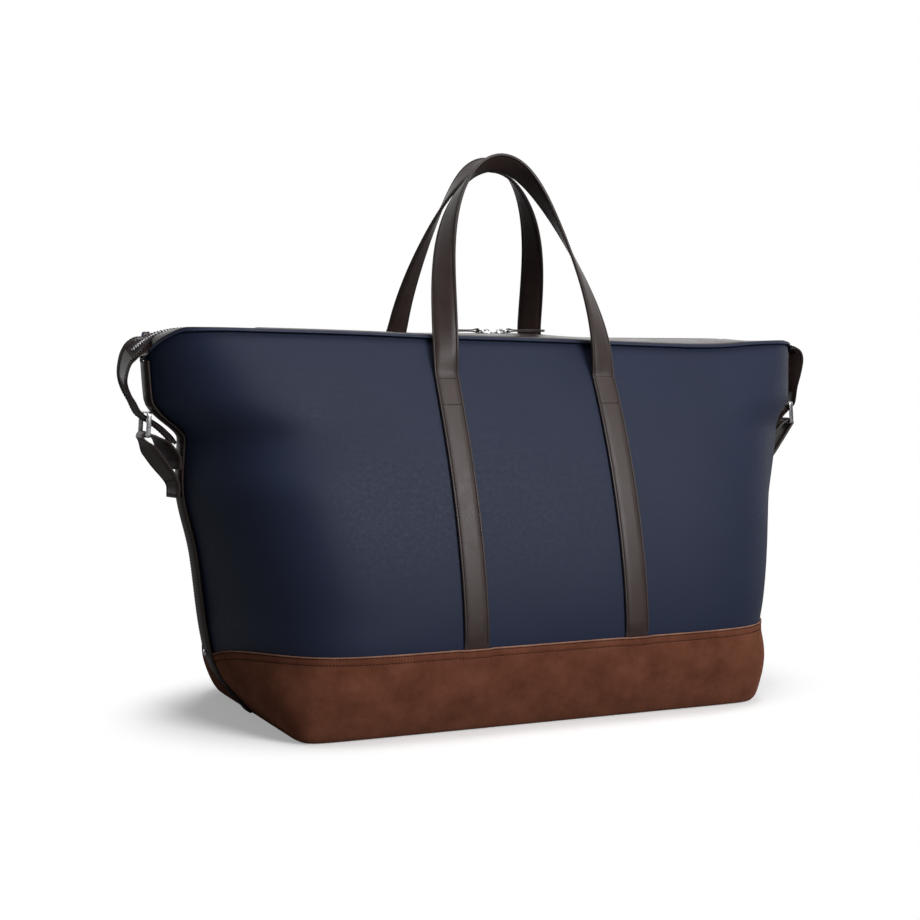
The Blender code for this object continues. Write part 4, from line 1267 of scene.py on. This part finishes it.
def make_tails():
    """The wing's leather, which narrows to a strap and comes down through the ring."""
    for name, side in SIDES:
        line = tail_path(side)
        path, stand = line[:, :2], line[:, 2:] / (TAIL_WIDTH / 2)
        ahead = unit(np.gradient(path, axis=0))
        length = run_along(path)
        edges = {face: wing_edge(side, face) for face in (FRONT, REAR)}
        reach = {face: float(np.interp(-TAIL_WIDTH / 2, -e[1], e[0])) for face, e in edges.items()}
        tip = {face: rows_before(path, reach[face]) for face in reach}
        rows = []
        for i, ((x, z), (dx, dz)) in enumerate(zip(path, ahead)):
            halves = {}
            for face in (FRONT, REAR):
                far, wide, high = edges[face]
                if i <= tip[face]:
                    half = max(float(np.interp(x, far, wide)) + 0.0004, TAIL_WIDTH / 2)
                    low = z - float(np.interp(x, far, high)) - 0.0008
                    halves[face] = (half, low)
                else:
                    e = path[tip[face]]
                    low = e[1] - float(np.interp(e[0], far, high)) - 0.0008
                    past = (length[i] - length[tip[face]]) / 0.018
                    halves[face] = (TAIL_WIDTH / 2, low * (1 - float(ease(past))))
            row = []
            for face in (FRONT, REAR):
                half, low = halves[face]
                places = tail_half(half)
                for y, h in places if face == FRONT else places[::-1]:
                    off = TAIL / 2 + h
                    fall = low * max(y - ZIP_SLOT, 0) / (half - ZIP_SLOT)
                    out = x - dz * off + stand[i, 0] * face * y
                    up = z + dx * off - fall + stand[i, 1] * face * y
                    row.append((side * out, float(lean(z)) + face * y, up))
            rows.append(row)
        points = np.array(rows)
        away = np.zeros_like(points)
        away[: len(points) // 4, :, 2] = 1
        normals = grid_normals(points, away)
        middle = points.shape[1] // 2 - 1
        slotted = rows_before(path, ZIP_STOP[side])
        slot = [(r, middle) for r in range(slotted)]
        tail = shell(f"{name}_tail_leather", points, normals, TAIL, FACING_LEATHER, EDGE_PAINT, slot)
        soften(tail, 0.0003)
        place(tail, "bag", "brown_leather", f"{name}_tail")
        last = points.shape[1] - 1
        strap, beside = slice(tip[FRONT] + 12, -2), slice(1, slotted + 3)
        sewn = ((strap, 4), (strap, last - 4), (beside, middle - 3), (beside, middle + 4))
        runs = [stitch_places(points[rows, c], normals[rows, c]) for rows, c in sewn]
        thread = stitch_run(f"{name}_tail_thread", runs, BROWN_THREAD)
        place(thread, "bag", "brown_leather")
        make_zip_end(name, side, path[: slotted + 1], stand[: slotted + 1])


def make_zip_end(name, side, path, stand):
    """The closed end of the zip, in the slot of its tail."""
    rows = []
    for (x, z), (out, up) in zip(path, stand):
        across = np.linspace(-0.0105, 0.0105, 9)
        rows.append([(side * (x + out * y), float(lean(z)) + y, z - 0.0006 + up * y) for y in across])
    points = np.array(rows)
    normals = grid_normals(points, np.tile([0.0, 0.0, 1.0], (*points.shape[:2], 1)))
    tape = shell(f"{name}_zip_end_tape", points, normals, TAPE, ZIP_CLOTH)
    place(tape, "bag", "zip_cloth", f"{name}_zip_end")
    length = run_along(path)
    ahead = unit(np.gradient(path, axis=0))
    teeth = []
    for k in range(int((length[-1] - 0.004) / TEETH_PITCH * 2)):
        at = (k + 0.5) * TEETH_PITCH / 2
        x, z = np.interp(at, length, path[:, 0]), np.interp(at, length, path[:, 1])
        dx, dz = np.interp(at, length, ahead[:, 0]), np.interp(at, length, ahead[:, 1])
        face = FRONT if k % 2 == 0 else REAR
        middle = np.array([side * x, float(lean(z)) + face * (TEETH_WIDTH / 2 - INTERLOCK), z])
        along, up = np.array([side * dx, 0, dz]), np.array([-side * dz, 0, dx])
        teeth.append((middle, along, np.array([0, -face, 0.0]), up))
    row = tooth_run(f"{name}_zip_end_teeth", teeth)
    place(row, "bag", "nickel")


# Sliders and pulls


def plate(shape, outline, low, high, edge):
    """Adds a flat plate with eased edges to a shape."""
    face = shape.faces.new([shape.verts.new((x, y, low)) for x, y in outline])
    raised = bmesh.ops.extrude_face_region(shape, geom=[face])["geom"]
    top = [g for g in raised if isinstance(g, bmesh.types.BMVert)]
    bmesh.ops.translate(shape, vec=(0, 0, high - low), verts=top)
    corners = set(top) | set(face.verts)
    edges = [e for e in shape.edges if e.verts[0] in corners and e.verts[1] in corners]
    bmesh.ops.recalc_face_normals(shape, faces=shape.faces)
    bmesh.ops.bevel(shape, geom=edges, offset=edge, segments=2, affect="EDGES", profile=0.5)


def bar(shape, line, wide, thick, edge):
    """Adds a bent flat bar along a line in X and Z."""
    line = np.array(line)
    ahead = unit(np.gradient(line, axis=0))
    rows = []
    for (x, z), (dx, dz) in zip(line, ahead):
        ring = []
        for y, n in ((-wide, -thick), (wide, -thick), (wide, thick), (-wide, thick)):
            for ey, en in ((1, 0), (0, 1)) if y * n > 0 else ((0, 1), (1, 0)):
                py = y - math.copysign(edge, y) * en
                pn = n - math.copysign(edge, n) * ey
                ring.append(shape.verts.new((x - dz * pn, py, z + dx * pn)))
        rows.append(ring)
    for a, b in zip(rows, rows[1:]):
        for c in range(len(a)):
            d = (c + 1) % len(a)
            shape.faces.new((a[c], a[d], b[d], b[c]))
    shape.faces.new(rows[0])
    shape.faces.new(rows[-1])
    bmesh.ops.recalc_face_normals(shape, faces=shape.faces)


# Half of a slider's outline and one of its turned-in sides, as shares of half its length and width
SHIELD = ((-1, 0.55), (-0.82, 0.92), (-0.45, 1), (0.2, 0.96), (0.75, 0.80), (1, 0.62))
SLIDER_LIP = ((-0.6, 0.82), (-0.6, 0.98), (0.55, 0.86), (0.55, 0.72))


def make_sliders():
    """Two shield-shaped plates joined by a post, with turned-in sides and an arched bridge."""
    half, wide = SLIDER_LENGTH / 2, SLIDER_WIDTH / 2
    one = [(x * half, y * wide) for x, y in SHIELD]
    shield = one + [(x, -y) for x, y in one[::-1]]
    channel = SLIDER_TOP - SLIDER_PLATE
    post = [(-half + 0.0004, 0.0011), (-0.0016, 0.0004), (-0.0016, -0.0004), (-half + 0.0004, -0.0011)]
    arch = []
    for a in np.linspace(math.pi, 0, 13):
        rise = math.sin(a) ** 0.6
        height = SLIDER_TOP - 0.0005 + (BRIDGE_HEIGHT - 0.0001) * rise
        arch.append((BRIDGE_LENGTH / 2 * math.cos(a), height))
    for name, side in SIDES:
        shape = bmesh.new()
        plate(shape, shield, channel, SLIDER_TOP, 0.00035)
        plate(shape, shield, -SLIDER_TOP, -channel, 0.00035)
        plate(shape, post, -channel - 0.0002, channel + 0.0002, 0.00015)
        for face in (FRONT, REAR):
            lip = [(x * half, face * (y * wide)) for x, y in SLIDER_LIP]
            plate(shape, lip, channel - 0.0006, channel + 0.0003, 0.0001)
            plate(shape, lip, -channel - 0.0003, -channel + 0.0006, 0.0001)
        bar(shape, arch, BRIDGE_WIDTH / 2, 0.00048, 0.00018)
        mesh = bpy.data.meshes.new(f"{name}_slider_nickel")
        if side == LEFT:
            bmesh.ops.rotate(shape, verts=shape.verts, matrix=Matrix.Rotation(math.pi, 3, "Z"))
        shape.to_mesh(mesh)
        shape.free()
        mesh.materials.append(NICKEL)
        mesh.shade_smooth()
        mesh.set_sharp_from_angle(angle=math.radians(35))
        slider = bpy.data.objects.new(f"{name}_slider_nickel", mesh)
        link(slider)
        slider.location = (side * SLIDER_REST, ZIP_Y, ZIP_Z)
        place(slider, f"{name}_slider", "nickel", f"{name}_slider")


def make_pulls():
    """A wire ring on each slider, and a leather tab folded round it."""
    far = 2 * PULL_RADIUS
    ply, loop = 0.0011, 0.0019
    for name, side in SIDES:
        hinge = np.array([side * SLIDER_REST, ZIP_Y, PULL_Z])
        rings = []
        for a in np.arange(48) * 2 * math.pi / 48:
            out = PULL_RADIUS + PULL_RADIUS * math.cos(a)
            middle = np.array([side * out, PULL_RADIUS * math.sin(a), 0])
            away = np.array([side * math.cos(a), math.sin(a), 0])
            ring = []
            for t in np.arange(12) * 2 * math.pi / 12:
                ring.append(middle + PULL_WIRE * (away * math.cos(t) + np.array([0, 0, math.sin(t)])))
            rings.append(ring)
        wire = sweep(f"{name}_pull_wire", np.array(rings) + hinge, NICKEL, closed=True)
        place(wire, f"{name}_pull", "nickel", f"{name}_pull_ring")
        path = [(far + TAB_LENGTH, -ply * 0.55), (far + 0.020, -ply * 0.55), (far + 0.0062, -ply * 0.6)]
        for a in np.linspace(-0.25 * math.pi, -1.75 * math.pi, 9):
            path.append((far + loop * math.cos(a) * 0.92, loop * math.sin(a)))
        path += [(far + 0.0062, ply * 0.6), (far + 0.020, ply * 0.55), (far + TAB_LENGTH, ply * 0.55)]
        line = spline(path, 84)
        ahead = unit(np.gradient(line, axis=0))
        rings = []
        for (x, z), (dx, dz) in zip(line, ahead):
            wide = TAB_NECK + (TAB_WIDTH - TAB_NECK) * float(ease((x - far - 0.0045) / 0.0035))
            tip = far + TAB_LENGTH - x
            wide *= 0.42 + 0.58 * math.sqrt(float(np.clip(tip / 0.0032, 0, 1)))
            outline = strap_section(wide, ply, inset=min(0.0013, wide * 0.2), groove=0.00012, crown=0.0)
            rings.append([(side * (x - dz * n), a, z + dx * n) for a, n in outline])
        rings = np.array(rings) + hinge
        tab = sweep(f"{name}_pull_leather", rings, BROWN_LEATHER, STRAP_BANDS)
        place(tab, f"{name}_pull", "brown_leather", f"{name}_pull_tab")
        up = np.array([0, 0, 1.0])
        runs = []
        for groove in GROOVES:
            for rows, out in ((slice(60, 82), up), (slice(2, 24), -up)):
                rise = np.mean(rings[rows, groove, 2] - rings[rows, UNDER - groove, 2]) * out[2]
                line = rings[rows, groove if rise > 0 else UNDER - groove]
                runs.append(stitch_places(line, np.tile(out, (len(line), 1)), 0.0022, 0.00005))
        thread = stitch_run(f"{name}_pull_thread", runs, BROWN_THREAD, 0.00022, 0.0015)
        place(thread, f"{name}_pull", "brown_leather")


# Straps and handles


def strap_point(x, z, face, out):
    """A point this far out from the panel under a strap."""
    low, high = z - 0.0015, z + 0.0015
    slope = ((lean(high) + face * depth_at(x, high)) - (lean(low) + face * depth_at(x, low))) / 0.003
    normal = unit(np.array([0, face, -face * slope]))
    return np.array([x, float(lean(z)) + face * depth_at(x, z), z]) + normal * out


def handle_centre(angle, face):
    """The strap's middle on half an ellipse, drawn in towards the other handle as it rises."""
    foot = strap_point(STRAP_SPREAD, HANDLE_HEIGHT, face, 0.0021)
    rise = math.sin(angle)
    out = abs(foot[1] - ZIP_Y)
    away = HANDLE_APEX + (out - HANDLE_APEX) * (1 + math.cos(math.pi * rise)) / 2
    wide = STRAP_SPREAD - HANDLE_PINCH[face] * float(ease(rise / PINCH_RISE))
    return np.array([wide * math.cos(angle), ZIP_Y + face * away, HANDLE_HEIGHT + HANDLE_RISE * rise])


def square_to(direction, along):
    return unit(direction - along * np.dot(direction, along))


def strap_line(face):
    """Middles, normals and thickness shares of one strap: up a panel, round and down again."""
    low = BOOT_HEIGHT - TUCK
    heights = np.linspace(low, HANDLE_HEIGHT - 0.002, 100)
    thin = 0.45 + 0.55 * ease((heights - BOOT_HEIGHT) / 0.012)
    leg = [strap_point(STRAP_SPREAD, z, face, 0.0005 + STRAP / 2 * t) for z, t in zip(heights, thin)]
    leg = np.array(leg)
    angles = np.linspace(math.pi, 0, 220)
    arch = np.array([handle_centre(a, face) for a in angles])
    other = leg * np.array([-1, 1, 1])
    line = np.concatenate([other, arch, leg[::-1]])
    share = np.concatenate([thin, np.ones(len(arch)), thin[::-1]])
    twists = np.concatenate([np.zeros(100), 1 - np.abs(1 - 2 * np.linspace(0, 1, 220)), np.zeros(100)])
    turns = np.concatenate([np.full(100, math.pi), angles, np.zeros(100)])
    length = run_along(line)
    at = np.linspace(0, length[-1], 430)
    line = points_at(at, length, line)
    share, twists, turns = (np.interp(at, length, v) for v in (share, twists, turns))
    for _ in range(3):
        line[1:-1] = (line[:-2] + 2 * line[1:-1] + line[2:]) / 4
    along = unit(np.gradient(line, axis=0))
    normals = []
    for a, twist, turn in zip(along, twists, turns):
        over = math.sin(turn) / HANDLE_RISE
        arch = np.array([math.cos(turn) / STRAP_SPREAD, -face * math.tan(HANDLE_TILT) * over, over])
        arch = square_to(arch, a)
        plain = square_to(np.array([0.0, face, 0.0]), a)
        if twist > 0:
            plain = square_to(plain, arch)
        speed = HANDLE_TWIST[face][0 if math.cos(turn) < 0 else 1]
        angle = math.pi / 2 * (1 - (1 - twist) ** speed)
        normals.append(plain * math.cos(angle) + arch * math.sin(angle))
    return line, along, unit(normals), share


def make_straps():
    """One strap on each face: sewn up a panel, round as the handle and down again."""
    outline = strap_section(STRAP_WIDTH, STRAP)
    for name, face in FACES:
        line, along, normals, share = strap_line(face)
        across = np.cross(along, normals)
        rings = []
        for p, a, n, s in zip(line, across, normals, share):
            rings.append([p + a * u + n * (v * s) for u, v in outline])
        rings = settle_strap(rings)
        strap = sweep(f"{name}_strap_leather", rings, BROWN_LEATHER, STRAP_BANDS)
        hang_handle(strap, name, f"{name}_handle", f"{name}_left_strap", f"{name}_right_strap")
        sewn = rings[:, :, 2].mean(1)
        shown = sewn > BOOT_HEIGHT + 0.0035
        free = sewn > HANDLE_HEIGHT + 0.006
        runs = []
        for groove in GROOVES:
            outer, inner = rings[:, groove], rings[:, UNDER - groove]
            runs.append(stitch_places(outer[shown], (outer - inner)[shown]))
            runs.append(stitch_places(inner[free], (inner - outer)[free]))
        half = len(rings) // 2
        for rows in (range(half), range(half, len(rings))):
            for height in STITCH_ROWS:
                r = min(rows, key=lambda i: abs(sewn[i] - height))
                runs.append(cross_run(rings, r, normals[r]))
        thread = stitch_run(f"{name}_strap_thread", runs, BROWN_THREAD)
        hang_handle(thread, name)


def settle_strap(rings):
    """Moves a strap with the panel that it is sewn to, and leaves its handle where it is."""
    rings = np.array(rings)
    free = ease((rings[..., 2] - HANDLE_HEIGHT - 0.002) / 0.03)
    return rings + (settle(rings, 0.0 if rings[0, 0, 1] < ZIP_Y else 1.0) - rings) * (1 - free)[..., None]


def hang_handle(piece, name, *nodes):
    """The piece keeps its place and the parts of these nodes are hidden; the name is not used."""
    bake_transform(piece)
    if nodes:
        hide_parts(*nodes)


# Studio

FLOOR_SIZE = 8.0
AMBIENT = 0.06
FLOOR_LIFT = 0.32
# Distances from the middle of the bag where the floor starts to turn white, and is white
FLOOR_FADE = (0.29, 0.40)


def make_camera():
    data = bpy.data.cameras.new("camera")
    data.lens = FOCUS / PICTURE * data.sensor_width
    camera = bpy.data.objects.new("camera", data)
    camera.location = CAMERA
    camera.rotation_euler = (math.pi / 2 - CAMERA_DIP, 0, -CAMERA_TURN)
    link(camera)
    bpy.context.scene.camera = camera


def make_world():
    """White to the eye, and in reflections behind and above the bag; dim as light."""
    world = bpy.data.worlds.new("studio")
    world.use_nodes = True
    bpy.context.scene.world = world
    tree = world.node_tree
    rays = add_node(tree, "LightPath")
    behind = {0: places_on(tree, "Generated"), 1: (0.45, 0.80, 0.40)}
    behind = add_node(tree, "VectorMath", behind, operation="DOT_PRODUCT").outputs["Value"]
    mirrored = remap(tree, behind, -0.15, 0.35, 0.10, 1.0)
    light = {0: rays.outputs["Is Glossy Ray"], 2: AMBIENT, 3: mirrored}
    light = add_node(tree, "Mix", light, data_type="FLOAT").outputs[0]
    seen = math_node(
        tree, "MAXIMUM", rays.outputs["Is Camera Ray"], rays.outputs["Is Transmission Ray"]
    )
    strength = math_node(tree, "MAXIMUM", light, seen)
    background = tree.nodes["Background"]
    background.inputs["Color"].default_value = (1, 1, 1, 1)
    tree.links.new(strength, background.inputs["Strength"])


def make_lamp(name, at, aim, size, watts):
    data = bpy.data.lights.new(name, "AREA")
    data.shape = "RECTANGLE"
    data.size, data.size_y = size
    data.energy = watts
    lamp = bpy.data.objects.new(name, data)
    lamp.location = at
    lamp.rotation_euler = (Vector(aim) - Vector(at)).to_track_quat("-Z", "Y").to_euler()
    link(lamp)


def make_floor():
    """A pale floor that keeps the bag's shadow, and is white to the eye where it is lit."""
    material = bpy.data.materials.new("studio_floor")
    material.use_nodes = True
    tree = material.node_tree
    tree.nodes.clear()
    seen = add_node(tree, "LightPath").outputs["Is Camera Ray"]
    tint = mix_colours(tree, seen, "#a0a0a0", "#f2f2f2")
    paint = add_node(tree, "BsdfDiffuse", {"Color": tint}).outputs[0]
    lift = math_node(tree, "MULTIPLY", seen, FLOOR_LIFT)
    glow = add_node(tree, "Emission", {"Strength": lift}).outputs[0]
    near = add_node(tree, "AddShader", {0: paint, 1: glow}).outputs[0]
    white = add_node(tree, "Emission", {"Strength": 1.0}).outputs[0]
    apart = {0: places_on(tree, "Object"), 1: (1.0, 1.4, 1.0)}
    apart = add_node(tree, "VectorMath", apart, operation="MULTIPLY").outputs[0]
    away = add_node(tree, "VectorMath", {0: apart}, operation="LENGTH").outputs["Value"]
    fade = {0: away, 1: FLOOR_FADE[0], 2: FLOOR_FADE[1]}
    fade = add_node(tree, "MapRange", fade, interpolation_type="SMOOTHSTEP").outputs[0]
    faded = math_node(tree, "MULTIPLY", fade, seen)
    both = add_node(tree, "MixShader", {0: faded, 1: near, 2: white})
    add_node(tree, "OutputMaterial", {0: both.outputs[0]})
    mesh = bpy.data.meshes.new("studio_floor")
    s = FLOOR_SIZE / 2
    mesh.from_pydata([(-s, -s, 0), (s, -s, 0), (s, s, 0), (-s, s, 0)], [], [(0, 1, 2, 3)])
    mesh.materials.append(material)
    floor = bpy.data.objects.new("studio_floor", mesh)
    link(floor)


make_camera()
make_world()
make_floor()
make_lamp("key", (0.50, -2.00, 1.20), (0, 0, 0.2), (1.0, 1.0), 37)
make_lamp("top", (0.15, -0.15, 2.2), (0, 0, 0.2), (1.4, 1.0), 21)
bpy.context.scene.view_settings.view_transform = "Standard"

make_panels()
make_boot()
make_base()
make_lining()
make_strips()
make_rivets()
make_chapes()
make_rings()
make_facings()
make_tails()
make_sliders()
make_pulls()
make_straps()
